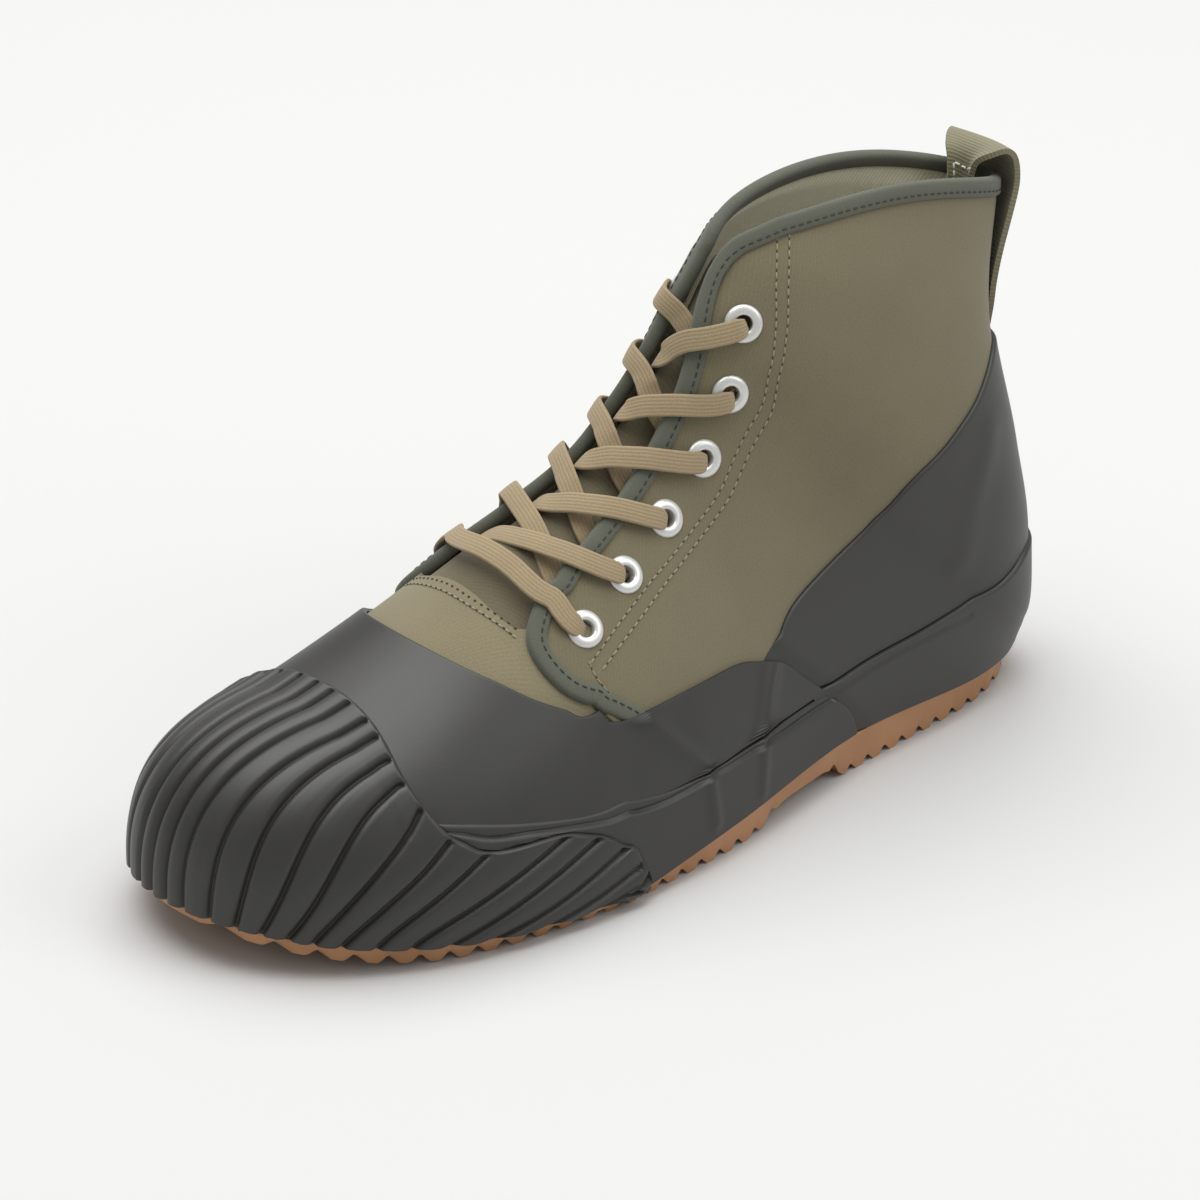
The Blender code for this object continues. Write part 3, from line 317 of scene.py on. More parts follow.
def place_in_side_view(y, z):
    """Station and girth of a point that is given by its side view, found by halving the interval."""
    low, high = 0.0, COLLAR_STATION
    for _ in range(HALVINGS):
        middle = (low + high) / 2
        foot_y, foot_z, head_y, head_z = section(middle, True)[:4]
        ahead = (head_y - foot_y) * (z - foot_z) - (head_z - foot_z) * (y - foot_y)
        low, high = (middle, high) if ahead < 0 else (low, middle)
    _, foot_z, _, head_z = section(low, True)[:4]
    return low, 1 - float((z - foot_z) / (head_z - foot_z))


def place_in_plan(x, y):
    """Station and girth of a forefoot point that is given by its plan."""
    station = station_of(y - BALL_Y)
    along = np.clip((y - BALL_Y) / (TOE_Y - BALL_Y), 0, 1)
    centre = TOE_INFLARE * along**2
    lateral = x >= centre
    half, _, crown, flank = section(station, lateral)[4:8]
    share = np.clip(np.abs(x - centre) / np.maximum(half, TINY), 0, 1)
    up = (1 - share**flank) ** (1 / crown)
    return station, np.where(lateral, 1, -1) * (1 - up)


# Meshes

def eased(count):
    """Shares from 0 to 1 that are close together at both ends."""
    return 0.5 - 0.5 * np.cos(np.linspace(0, math.pi, count))


def new_object(name, data):
    made = bpy.data.objects.new(name, data)
    bpy.context.scene.collection.objects.link(made)
    return made


def add_object(name, points, faces, finishes, flat=None, face_finish=None, sharp=50):
    """One mesh object from points in millimetres. Flat gives each point its place on the weave."""
    mesh = bpy.data.meshes.new(name)
    mesh.from_pydata(((np.asarray(points) + SHIFT) * MM).tolist(), [], faces)
    for finish in finishes:
        mesh.materials.append(finish)
    if face_finish is not None:
        mesh.polygons.foreach_set("material_index", np.asarray(face_finish, np.int32))
    if flat is not None:
        corners = np.empty(len(mesh.loops), np.int32)
        mesh.loops.foreach_get("vertex_index", corners)
        layer = mesh.uv_layers.new(name="weave")
        layer.data.foreach_set("uv", np.asarray(flat, np.float32)[corners].ravel())
    shape = bmesh.new()
    shape.from_mesh(mesh)
    bmesh.ops.recalc_face_normals(shape, faces=shape.faces)
    shape.to_mesh(mesh)
    shape.free()
    mesh.shade_smooth()
    mesh.set_sharp_from_angle(angle=math.radians(sharp))
    made = new_object(name, mesh)
    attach(made, "root")
    return made


def whole_faces(faces):
    """Faces without their doubled corners, and without those that then have no area."""
    faces = [tuple(dict.fromkeys(face)) for face in faces]
    return [face for face in faces if len(face) > 2]


def grid_faces(index):
    """Faces of a grid of point numbers."""
    return np.stack([index[:-1, :-1], index[:-1, 1:], index[1:, 1:], index[1:, :-1]], -1).reshape(-1, 4)


def ring_faces(rings, count, first=0, closed=False):
    """Faces between rings of points that follow one another, and from the last to the first if closed."""
    index = first + np.arange(rings * count).reshape(rings, count)
    index = np.concatenate([index, index[:, :1]], axis=1)
    if closed:
        index = np.concatenate([index, index[:1]])
    return grid_faces(index).tolist()


def across_faces(first, count):
    """Faces across a loop of points that starts in its middle, from one side to the other."""
    place = np.arange(count // 2 + 1)
    return whole_faces(grid_faces(first + np.stack([place, (count - place) % count], -1)).tolist())


def skin(name, patches, finishes, flat_axes, keep=None):
    """A closed sheet on the last. A patch is four grids: station, girth, inner and outer offset."""
    faces, columns = [], [[], [], [], []]
    count = 0
    for patch in patches:
        patch = np.broadcast_arrays(*patch)
        size = patch[0].size
        faces.append(grid_faces(count + np.arange(size).reshape(patch[0].shape)))
        count += size
        for column, values in zip(columns, patch):
            column.append(values.ravel())
    station, girth, inner, outer = (np.concatenate(column) for column in columns)
    faces = np.concatenate(faces)
    base = last(station, girth)
    if keep is not None:
        faces = faces[keep(base[faces].mean(axis=1))]
    _, index = np.unique(np.round(base, MERGE_DIGITS), axis=0, return_inverse=True)
    index = index.ravel()
    total = index.max() + 1

    def shared(values):
        summed = np.zeros((total,) + values.shape[1:])
        np.add.at(summed, index, values)
        return summed / np.bincount(index).reshape((-1,) + (1,) * (values.ndim - 1))

    normal = unit(shared(last_normal(station, girth)))
    base = shared(base)
    far = base + shared(outer)[:, None] * normal
    near = base + shared(inner)[:, None] * normal
    sheet = whole_faces(index[faces].tolist())
    uses = {}
    for corners in sheet:
        for start, end in zip(corners, corners[1:] + corners[:1]):
            uses.setdefault((min(start, end), max(start, end)), []).append((start, end))
    rim = [pair[0] for pair in uses.values() if len(pair) == 1]
    solid = sheet + [tuple(corner + total for corner in reversed(corners)) for corners in sheet]
    solid += [(end, start, start + total, end + total) for start, end in rim]
    side = [0] * len(sheet) + [len(finishes) - 1] * len(sheet) + [0] * len(rim)
    flat = np.concatenate([base, base])[:, list(flat_axes)]
    return add_object(name, np.concatenate([far, near]), solid, finishes, flat, side)


def side_distance(points, side):
    """Distance of each grid point from the grid's first or last row or column."""
    axis = 0 if side.endswith("row") else 1
    steps = np.linalg.norm(np.diff(points, axis=axis), axis=-1)
    if side.startswith("last"):
        steps = np.flip(steps, axis)
    start = np.zeros_like(np.take(steps, [0], axis))
    length = np.concatenate([start, np.cumsum(steps, axis=axis)], axis)
    return np.flip(length, axis) if side.startswith("last") else length


def fillet(points, sides, radius):
    """Share of the full height beside rounded edges: 0 at the edge, 1 from a radius inwards."""
    height = np.ones(points.shape[:2])
    for side in sides:
        share = np.clip(side_distance(points, side) / radius, 0, 1)
        height = np.minimum(height, np.sqrt(1 - (1 - share) ** 2))
    return height


def rubber_patch(station, girth, inner, outer, sides, radius=0.9, lip=0.35, relief=0.0):
    """A patch whose named sides are rounded, with a low lip left at the edge."""
    station, girth = np.broadcast_arrays(station, girth)
    height = lip + (1 - lip) * fillet(last(station, girth), sides, radius)
    return station, girth, np.full(station.shape, inner), inner + (outer + relief - inner) * height


def near_line(points, line):
    """Distance of grid points from a polyline that is sampled closely."""
    flat = points.reshape(-1, 3)
    nearest = np.full(len(flat), np.inf)
    for spot in line:
        nearest = np.minimum(nearest, np.sum((flat - spot) ** 2, axis=1))
    return np.sqrt(nearest).reshape(points.shape[:-1])


def line_on_last(rows, count):
    """Station and girth along rows of (station, girth), at an even pace over the last."""
    station, girth = smooth_columns(rows, np.linspace(0, 1, STEPS_PER_ROW * len(rows)))
    length = lengths(last(station, girth))
    even = np.linspace(0, length[-1], count)
    return np.interp(even, length, station), np.interp(even, length, girth)


def along_path(points, values, shares):
    """Values that go with a polyline's points, at shares of its length."""
    length = lengths(points)
    return sampled(shares * length[-1], length, values)


def raised(station, girth, height):
    """Points at a height over the last, and the normals there."""
    normal = last_normal(station, girth)
    return last(station, girth) + np.asarray(height)[..., None] * normal, normal


def softened(line):
    """A polyline's points, each drawn towards its neighbours, with the ends kept."""
    return np.concatenate([line[:1], (line[:-2] + 2 * line[1:-1] + line[2:]) / 4, line[-1:]])


def weave_places(across, along):
    """Places on the weave of a sweep's points, by distance across it and along it."""
    return np.stack(np.broadcast_arrays(across[None, :], along[:, None]), -1).reshape(-1, 2)


# Materials

def set_inputs(tree, node, values):
    """Sets a node's inputs by name or place: a socket is linked, and anything else is a constant."""
    for name, value in values.items():
        if isinstance(value, bpy.types.NodeSocket):
            tree.links.new(value, node.inputs[name])
        else:
            node.inputs[name].default_value = value


def add_node(tree, kind, output, values, **options):
    """One output of a new shader node."""
    made = tree.nodes.new(kind)
    for option, value in options.items():
        setattr(made, option, value)
    set_inputs(tree, made, values)
    return made.outputs[output]


def new_material(name):
    made = bpy.data.materials.new(name)
    made.use_nodes = True
    return made, made.node_tree, made.node_tree.nodes["Principled BSDF"]


def plain(name, colour, roughness, metallic=0.0):
    made, tree, shader = new_material(name)
    set_inputs(tree, shader, {"Base Color": (*colour, 1.0), "Roughness": roughness, "Metallic": metallic})
    return made


def mixed(tree, factor, low, high):
    """A colour between two, by a factor socket."""
    values = {"Factor": factor, "A": (*low, 1.0), "B": (*high, 1.0)}
    return add_node(tree, "ShaderNodeMix", "Result", values, data_type="RGBA")


def noise(tree, place, size, detail):
    """Noise with spots of about this size, in the units of the place socket."""
    values = {"Scale": 1 / size, "Detail": detail, "Vector": place}
    return add_node(tree, "ShaderNodeTexNoise", "Fac", values)


def bump(tree, height, depth, below=None):
    """A bump of about this depth in millimetres, on top of another one."""
    values = {"Strength": 1.0, "Distance": depth * MM, "Height": height}
    if below:
        values["Normal"] = below
    return add_node(tree, "ShaderNodeBump", "Normal", values)


def cloth(name, dark, light, pitch, slant, depth, rib):
    """Woven cloth: slanting ribs on the weave's own flat coordinates, with uneven yarn and faded patches."""
    made, tree, shader = new_material(name)
    flat = add_node(tree, "ShaderNodeUVMap", "UV", {}, uv_map="weave")
    turned = add_node(tree, "ShaderNodeMapping", "Vector",
                      {"Vector": flat, "Rotation": (0.0, 0.0, math.radians(slant))})
    ribs = add_node(tree, "ShaderNodeTexWave", "Fac",
                    {"Vector": turned, "Scale": WAVE_PERIOD / pitch, **RIB_WAVER},
                    wave_type="BANDS", bands_direction="X")
    yarn = noise(tree, flat, YARN_SIZE, YARN_DETAIL)
    patch = noise(tree, flat, PATCH_SIZE, PATCH_DETAIL)
    tone = 0.5 * (1 - rib - YARN_SHARE - PATCH_SHARE)
    for part, share in ((patch, PATCH_SHARE), (yarn, YARN_SHARE), (ribs, rib)):
        values = {0: part, 1: share, 2: tone}
        tone = add_node(tree, "ShaderNodeMath", "Value", values, operation="MULTIPLY_ADD")
    woven = bump(tree, ribs, depth)
    set_inputs(tree, shader, {"Base Color": mixed(tree, tone, dark, light),
                              "Normal": bump(tree, yarn, YARN_DEPTH * depth, woven), **CLOTH_SHEEN})
    return made


def moulded(name, dark, light, roughness, grain, specular):
    """Moulded rubber: a little uneven in tone and gloss, with a fine grain."""
    made, tree, shader = new_material(name)
    place = add_node(tree, "ShaderNodeTexCoord", "Object", {})
    cloud = noise(tree, place, CLOUD_SIZE * MM, CLOUD_DETAIL)
    gloss = add_node(tree, "ShaderNodeMapRange", "Result",
                     {"Value": cloud, "To Min": roughness[0], "To Max": roughness[1]})
    fine = noise(tree, place, GRAIN_SIZE * MM, GRAIN_DETAIL)
    set_inputs(tree, shader, {"Base Color": mixed(tree, cloud, dark, light), "Roughness": gloss,
                              "Normal": bump(tree, fine, grain), "Specular IOR Level": specular})
    return made


# Looks of the surfaces: two pi over the wave texture's own pace of 20, then the noises' size of spots in
# millimetres, detail, share of the tone and share of the depth
WAVE_PERIOD = 2 * math.pi / 20
YARN_SIZE = 0.5
YARN_DETAIL = 2.0
YARN_SHARE = 0.6
YARN_DEPTH = 0.6
PATCH_SIZE = 22.0
PATCH_DETAIL = 3.0
PATCH_SHARE = 0.3
CLOUD_SIZE = 14.0
CLOUD_DETAIL = 4.0
GRAIN_SIZE = 0.5
GRAIN_DETAIL = 2.0
RIB_WAVER = {"Distortion": 0.6, "Detail": 2.0, "Detail Scale": 2.0}
CLOTH_SHEEN = {"Roughness": 0.9, "Specular IOR Level": 0.2, "Sheen Weight": 0.15, "Sheen Roughness": 0.6}

# Cloth by its dark and light colours, then pitch, slant in degrees and depth of its ribs, and their share
CANVAS = cloth("canvas", (0.112, 0.095, 0.055), (0.232, 0.203, 0.125), 0.9, 27, 0.015, 0.08)
# The vamp is the canvas painted about a quarter lighter: painted light on its upward face
VAMP_CANVAS_PAINTED_LIGHT = cloth("vamp", (0.140, 0.119, 0.068), (0.285, 0.249, 0.153), 0.9, 27, 0.015, 0.08)
# The lining has its own pale tone, painted paler still as painted light for the light inside the collar
LINING_PAINTED_PALER = cloth("lining_painted_paler", (0.520, 0.492, 0.355), (0.840, 0.815, 0.655), 1.15, 38, 0.10, 0.35)
# The tongue is the canvas tone painted about a sixth darker, as painted shade in the throat
TONGUE_PAINTED_SHADE = cloth("tongue", (0.092, 0.077, 0.046), (0.200, 0.174, 0.109), 0.9, 63, 0.02, 0.10)
WEBBING = cloth("webbing", (0.140, 0.128, 0.080), (0.275, 0.255, 0.165), 1.1, 90, 0.08, 0.25)
BINDING = cloth("binding", (0.066, 0.070, 0.052), (0.130, 0.137, 0.104), 0.8, 90, 0.015, 0.08)
LACE = cloth("lace", (0.190, 0.138, 0.076), (0.430, 0.338, 0.208), 0.95, 0, 0.05, 0.2)
INSOLE = cloth("insole", (0.150, 0.124, 0.074), (0.300, 0.260, 0.165), 1.1, 38, 0.14, 0.4)
# Rubber by its dark and light colours, then range of roughness, depth of the grain and specular level
RUBBER = moulded("rubber", (0.0225, 0.022, 0.0198), (0.031, 0.0302, 0.027), (0.40, 0.50), 0.016, 0.55)
GUM = moulded("gum", (0.360, 0.172, 0.076), (0.520, 0.285, 0.145), (0.5, 0.62), 0.03, 0.4)
# Plain finishes by colour, roughness and share of metal
EYELET = plain("eyelet", (0.690, 0.695, 0.675), 0.34, 0.5)
THREAD = plain("thread", (0.285, 0.252, 0.165), 0.8)
# Dark marks painted as the shade in the needle holes of the seams
HOLE_SHADE = plain("hole_shade", (0.050, 0.044, 0.028), 0.9)
DARK_THREAD = plain("dark_thread", (0.030, 0.033, 0.024), 0.8)
WHITE_THREAD = plain("white_thread", (0.780, 0.770, 0.730), 0.7)


# Upper

def eyelet_seats():
    """Place, normal and station of each eyelet on the canvas."""
    seats = {}
    for number, (y, z) in enumerate(EYELETS, 1):
        station, girth = place_in_side_view(y, z)
        for side_name, side in (("lateral", 1), ("medial", -1)):
            seats[side_name, number] = (*raised(station, side * girth, QUARTER_OUT), station)
    return seats


SEATS = eyelet_seats()


# Grids of the canvas, as rows and columns, and how its columns draw towards the ridge
QUARTER_FRONT_ROWS = 70
QUARTER_BACK_ROWS = 170
QUARTER_COLUMNS = 70
VAMP_GRID = (60, 141)
VAMP_PULL = 1.8
# How far the rubber's edges lap the canvas, and how soon it sinks there, in girth or stations
COVERED_LAP = 0.01
VAMP_LAP = 0.03
VAMP_FADE = 0.02
QUARTER_FOOT_RUN = 0.03
# The quarter's front is a thin flap, and the full wall starts behind it
FLAP_IN = 0.1
WALL_FROM = 1.07
WALL_FADE = 0.03
LEAST_WALL = 0.3
VAMP_WALL = 1.2


def clear_of_eyelets(points):
    kept = np.ones(len(points), bool)
    for seat, _, _ in SEATS.values():
        kept &= np.linalg.norm(points - seat, axis=1) > EYELET_CUT
    return kept


def quarter_rows(side):
    """Free edge and foot of a quarter, row by row from the front to the collar, with girths above zero."""
    front_run, front_girth = (np.array(column) for column in zip(*QUARTER_FRONT))
    rows = list(zip(station_of(front_run), front_girth))
    rows.append((QUARTER_FROM, float(throat_girth(QUARTER_FROM, side))))
    edge_station, edge_girth = line_on_last(rows, QUARTER_FRONT_ROWS)
    foot_station = np.linspace(edge_station[0], edge_station[0] + QUARTER_FOOT_RUN, QUARTER_FRONT_ROWS)
    share = np.linspace(0, 1, QUARTER_BACK_ROWS)[1:]
    above, foot_above = (start + (COLLAR_STATION - start) * share
                         for start in (QUARTER_FROM, foot_station[-1]))
    edge = np.concatenate([edge_station, above]), np.concatenate([edge_girth, throat_girth(above, side)])
    return edge, np.concatenate([foot_station, foot_above])


def make_upper():
    share = np.linspace(0, 1, QUARTER_COLUMNS)[None, :]
    patches = []
    for side in (1, -1):
        (edge_station, edge_girth), foot_station = quarter_rows(side)
        station = edge_station[:, None] + (foot_station - edge_station)[:, None] * share
        girth = edge_girth[:, None] + (1 - edge_girth)[:, None] * share
        covered = ramp((girth - smooth(COVERED_FROM, station) - COVERED_LAP) / QUARTER_FADE)
        outer = QUARTER_OUT + (COVERED_OUT - QUARTER_OUT) * covered
        bound = np.maximum(1 - ramp(share / EDGE_TAPER), 1 - ramp((COLLAR_STATION - station) / EDGE_TAPER))
        wall = CANVAS_WALL - (CANVAS_WALL - EDGE_WALL) * bound
        inner = FLAP_IN - (wall + FLAP_IN) * ramp((station - WALL_FROM) / WALL_FADE)
        patches.append((station, side * girth, np.minimum(inner, outer - LEAST_WALL), outer))
    quarters = skin("quarters", patches, [CANVAS, LINING_PAINTED_PALER], (1, 2), clear_of_eyelets)
    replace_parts(quarters, "upper")
    rows, columns = VAMP_GRID
    girth = signed_power(np.linspace(-1, 1, columns)[None, :], VAMP_PULL)
    rear = smooth(VAMP_REAR, np.abs(girth))
    along = 1 - np.cos(np.linspace(0, 1, rows)[:, None] * math.pi / 2)
    toe_run = TOE_Y - BALL_Y
    station = station_of(toe_run + (rear - toe_run) * along)
    covered = 1 - ramp((station - smooth(MUDGUARD_TOP, np.abs(girth)) + VAMP_LAP) / VAMP_FADE)
    outer = COVERED_OUT * covered
    # The vamp's cloth is the canvas painted lighter, as painted light
    skin("vamp", [(station, girth, outer - VAMP_WALL, outer)], [VAMP_CANVAS_PAINTED_LIGHT, LINING_PAINTED_PALER], (0, 1))


# Rubber

# Marks on the rubber, as station and girth: grooves under the strips' edges, and soft ridges of the fabric
FOXING_GROOVE = ((0.70, 0.40), (0.783, 0.485), (0.828, 0.55), (0.902, 0.62), (0.963, 0.69), (1.004, 0.745),
                 (1.071, 0.785), (1.121, 0.80), (1.188, 0.815), (1.246, 0.83), (1.305, 0.85), (1.40, 0.86))
REAR_GROOVE = ((1.41, 0.842), (1.493, 0.82), (1.555, 0.81), (1.635, 0.81), (1.72, 0.812))
FRONT_RIDGE = ((1.10, 0.54), (1.134, 0.64), (1.171, 0.775), (1.167, 0.825), (1.154, 0.95))
BACK_RIDGE = ((1.372, 0.64), (1.326, 0.72), (1.284, 0.81), (1.259, 0.88), (1.238, 0.96))
COUNTER_RIDGE = ((2.236, 0.765), (2.006, 0.68), (1.839, 0.67))
GROOVE_DEPTH = 0.45
GROOVE_WIDTH = 0.6
RIDGE_HEIGHT = 1.2
RIDGE_WIDTH = 1.8
RIDGE_SPREAD = 2.6
COUNTER_RIDGE_HEIGHT = 0.5
COUNTER_RIDGE_WIDTH = 4.5
# The strip's top edge, led on under the cap
FOXING_LEAD = ((0.70, 0.345), (0.762, 0.41), (0.82, 0.475), (0.873, 0.54), (0.938, 0.62), (0.988, 0.685),
               (1.063, 0.745)) + FOXING_TOP[5:]
# The strip is thin above its groove, and the groove is this wide in girth
FOXING_BAND_OUT = 2.3
FOXING_BAND_FADE = 0.012
# How far an edge runs on under the piece that laps it, in stations, and how much lower it lies there
LAP = 0.03
LAP_DROP = 1.1
LAP_STEP = 0.3 * LAP
CAP_LAP = 0.003
CAP_LAP_FADE = 0.012
LINE_SPOTS = 400
# Grids of the sheets, as rows and columns, and how the columns draw towards the ridge or the back seam
MUDGUARD_GRID = (150, 281)
MUDGUARD_PULL = 1.3
FOXING_BAND_ROWS = 18
FOXING_ROWS = 34
FOXING_COLUMNS = 240
FOXING_BAND_SHARE = 0.2
HEEL_COLUMNS = 120
HEEL_PULL = 1.35
HEEL_FOOT_PULL = 1.26
REAR_ROWS = 36
COUNTER_ROWS = 44
# Where the mudguard's front edge leaves the cap, in girth
MUDGUARD_BARE = 0.70
MUDGUARD_BARE_FADE = 0.1
FOXING_RADIUS = 1.3
FOXING_BULGE = 0.012
FOXING_RIDGE_SHARE = 0.7


def soft_line(station, girth, rows, width):
    """A soft line over a patch: 1 on the line, and near 0 from twice the width."""
    line_station, line_girth = line_on_last(rows, LINE_SPOTS)
    distance = near_line(last(station, np.abs(girth)), last(line_station, line_girth))
    return np.exp(-((distance / width) ** 2))


def make_mudguard():
    rows, columns = MUDGUARD_GRID
    girth = MUDGUARD_TOP[-1][0] * signed_power(np.linspace(-1, 1, columns)[None, :], MUDGUARD_PULL)
    size = np.abs(girth)
    front = smooth(MUDGUARD_FRONT, size) - LAP * (1 - ramp((size - MUDGUARD_BARE) / MUDGUARD_BARE_FADE))
    back = smooth(MUDGUARD_TOP, size)
    station = front + (back - front) * eased(rows)[:, None]
    relief = sum(RIDGE_HEIGHT * soft_line(station, girth, mark, RIDGE_SPREAD)
                 for mark in (FRONT_RIDGE, BACK_RIDGE))
    patch = rubber_patch(station, girth, MUDGUARD_IN, MUDGUARD_OUT, ["last_row"], relief=relief)
    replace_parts(skin("mudguard_sheet", [patch], [RUBBER], (0, 1)), "mudguard")


def make_foxing_strip(name, side):
    """A front strip from under the cap's wing to midfoot, where it laps the rear strip."""
    upper, lower = eased(FOXING_BAND_ROWS)[:, None], eased(FOXING_ROWS)[1:, None]
    down = np.concatenate([FOXING_BAND_SHARE * upper, FOXING_BAND_SHARE + (1 - FOXING_BAND_SHARE) * lower])
    start = FOXING_LEAD[0][0]
    end = FOXING_TOP[-1][0] + FOXING_BULGE * np.sin(math.pi * down)
    station = start + (end - start) * eased(FOXING_COLUMNS)[None, :]
    top = smooth(FOXING_LEAD, station) + EDGE_GIRTH_GAP
    groove = smooth(FOXING_GROOVE, station)
    in_band = np.arange(len(down))[:, None] < FOXING_BAND_ROWS
    shares = np.concatenate([upper, lower])
    size = np.where(in_band, top + (groove - top) * shares, groove + (1 - groove) * shares)
    relief = -GROOVE_DEPTH * soft_line(station, size, FOXING_GROOVE, GROOVE_WIDTH)
    for mark in (FRONT_RIDGE, BACK_RIDGE):
        relief = relief + FOXING_RIDGE_SHARE * RIDGE_HEIGHT * soft_line(station, size, mark, RIDGE_WIDTH)
    relief = relief - (FOXING_OUT - FOXING_BAND_OUT) * ramp((groove - size) / FOXING_BAND_FADE + 0.5)
    relief = relief - LAP_DROP * ramp((smooth(CAP_EDGE, size) + CAP_LAP - station) / CAP_LAP_FADE)
    patch = rubber_patch(station, side * size, FOXING_IN, FOXING_OUT, ["first_row", "last_column"],
                         FOXING_RADIUS, relief=relief)
    return skin(name + "_band", [patch], [RUBBER], (1, 2))


def edge_along(rows, shares):
    """Station and girth along an edge of (station, girth) rows, by share of its number of rows."""
    station, girth = smooth_columns(rows, shares)
    return station[None, :], np.clip(girth, 0, 1)[None, :]


def heel_patches(lower, upper, rows, inner, outer, mark, height, width):
    """Both sides of a sheet ruled between two edges, with its front run on under the piece that laps it."""
    share = eased(rows)[:, None]
    station = lower[0] + (upper[0] - lower[0]) * share
    girth = lower[1] + (upper[1] - lower[1]) * share
    start = station[:, :1]
    station = station - LAP * ramp((start + LAP - station) / LAP)
    relief = height * soft_line(station, girth, mark, width)
    relief = relief - LAP_DROP * ramp((start + LAP_STEP - station) / LAP_STEP)
    return [rubber_patch(station, side * girth, inner, outer, ["last_row"], relief=relief)
            for side in (1, -1)]


def make_heel():
    shares = 1 - np.linspace(1, 0, HEEL_COLUMNS) ** HEEL_PULL
    start = FOXING_REAR_TOP[0][0]
    top = edge_along(FOXING_REAR_TOP, shares)
    foot_station = start + (HEEL_STATION - start) * (1 - (1 - shares) ** HEEL_FOOT_PULL)
    foot = foot_station[None, :], np.ones_like(top[0])
    patches = heel_patches(foot, top, REAR_ROWS, MUDGUARD_IN, FOXING_REAR_OUT,
                           REAR_GROOVE, -GROOVE_DEPTH, GROOVE_WIDTH)
    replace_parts(skin("foxing_rear_band", patches, [RUBBER], (1, 2)), "foxing_rear")
    lower = top[0] + 0.5 * EDGE_GIRTH_GAP * shares[None, :], top[1] - EDGE_GIRTH_GAP * (1 - shares[None, :])
    upper = edge_along(COUNTER_TOP, shares)
    patches = heel_patches(lower, upper, COUNTER_ROWS, COUNTER_IN, COUNTER_OUT,
                           COUNTER_RIDGE, COUNTER_RIDGE_HEIGHT, COUNTER_RIDGE_WIDTH)
    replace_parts(skin("counter_sheet", patches, [RUBBER], (1, 2)), "heel_counter")


def cap_edges(side):
    """One half of the cap: its foot line from toe tip to wing, and its rear edge from ridge to wing."""
    wing_girth, wing_station = CAP_EDGE[-1]
    share = np.linspace(0, 1, LINE_SPOTS)
    foot = last(wing_station * share**CAP_TOE_PULL, side * np.ones(LINE_SPOTS))
    girth = wing_girth * share
    return foot, last(smooth(CAP_EDGE, girth), side * girth)


# Grooves of the cap from the middle to the wing: shares of its rear edge and of its foot line, then how far
# each one leans back per height on the toe, and how far it sags on the wing, in stations
CAP_GROOVES = (
    (0.026, 0.021, 0.00, -0.30), (0.080, 0.063, 0.00, -0.30), (0.141, 0.119, 0.03, -0.30),
    (0.187, 0.170, 0.12, -0.30), (0.244, 0.217, 0.32, -0.28), (0.300, 0.264, 0.51, -0.22),
    (0.351, 0.311, 0.80, -0.116), (0.436, 0.361, 1.00, -0.093), (0.522, 0.423, 1.00, -0.115),
    (0.711, 0.488, 1.00, -0.170), (0.798, 0.560, 1.00, -0.048), (0.874, 0.644, 1.00, 0.060),
    (0.931, 0.758, 1.00, 0.080), (0.959, 0.871, 1.00, 0.080),
)
CAP_MIDDLE = (0.0, 0.0, 0.0, -0.30)
CAP_END = (0.995, 0.995, 1.0, 0.0)
CAP_ROWS = 80
CAP_TOE_PULL = 1.5
CAP_RISE = 1.5
CAP_RADIUS = 1.6
CAP_LIP = 0.45
CAP_WING_FROM = 5
CAP_GROOVE_WIDTH = 0.75
CAP_CROWN = 0.22
CAP_GROOVE_STOP = 0.9
COLUMNS_PER_RIB = 16
COLUMN_PULL = 0.8


def cap_columns():
    """Places across the ribs, where each whole number is a groove, with the four columns there."""
    even = np.arange((len(CAP_GROOVES) + 0.5) * COLUMNS_PER_RIB + 1) / COLUMNS_PER_RIB - 0.5
    place = even - COLUMN_PULL * np.sin(2 * math.pi * even) / (2 * math.pi)
    ends = [-0.5, *range(len(CAP_GROOVES)), len(CAP_GROOVES)]
    return place, *smooth_columns([CAP_MIDDLE, *CAP_GROOVES, CAP_END], place, ends)


def cap_grid(side):
    """Stations and girths over one half of the cap, with the grooves along its columns."""
    place, rear_share, foot_share, lean, sag = cap_columns()
    share = eased(CAP_ROWS)[:, None]
    rise = share**CAP_RISE
    foot, rear = cap_edges(side)
    foot = along_path(foot, foot, foot_share)
    rear = along_path(rear, rear, rear_share)
    plan = foot[None] + (rear - foot)[None] * rise[..., None]
    station, girth = place_in_plan(plan[..., 0], plan[..., 1])
    girth = np.where((place[None, :] == -0.5) & (rise > 0.5), 0.0, girth)
    points = last(station, girth)
    back = lean * (points[..., 2] - plan[..., 2])
    toe_station = station_of(points[..., 1] + back - BALL_Y)
    rear_station, rear_girth = place_in_plan(rear[:, 0], rear[:, 1])
    foot_station, _ = place_in_plan(foot[:, 0], foot[:, 1])
    wing_station = foot_station + (rear_station - foot_station) * share + sag * share * (1 - share)
    wing_girth = side + (rear_girth - side) * share
    wing = ramp(place - CAP_WING_FROM)[None, :]
    return place, toe_station + (wing_station - toe_station) * wing, girth + (wing_girth - girth) * wing


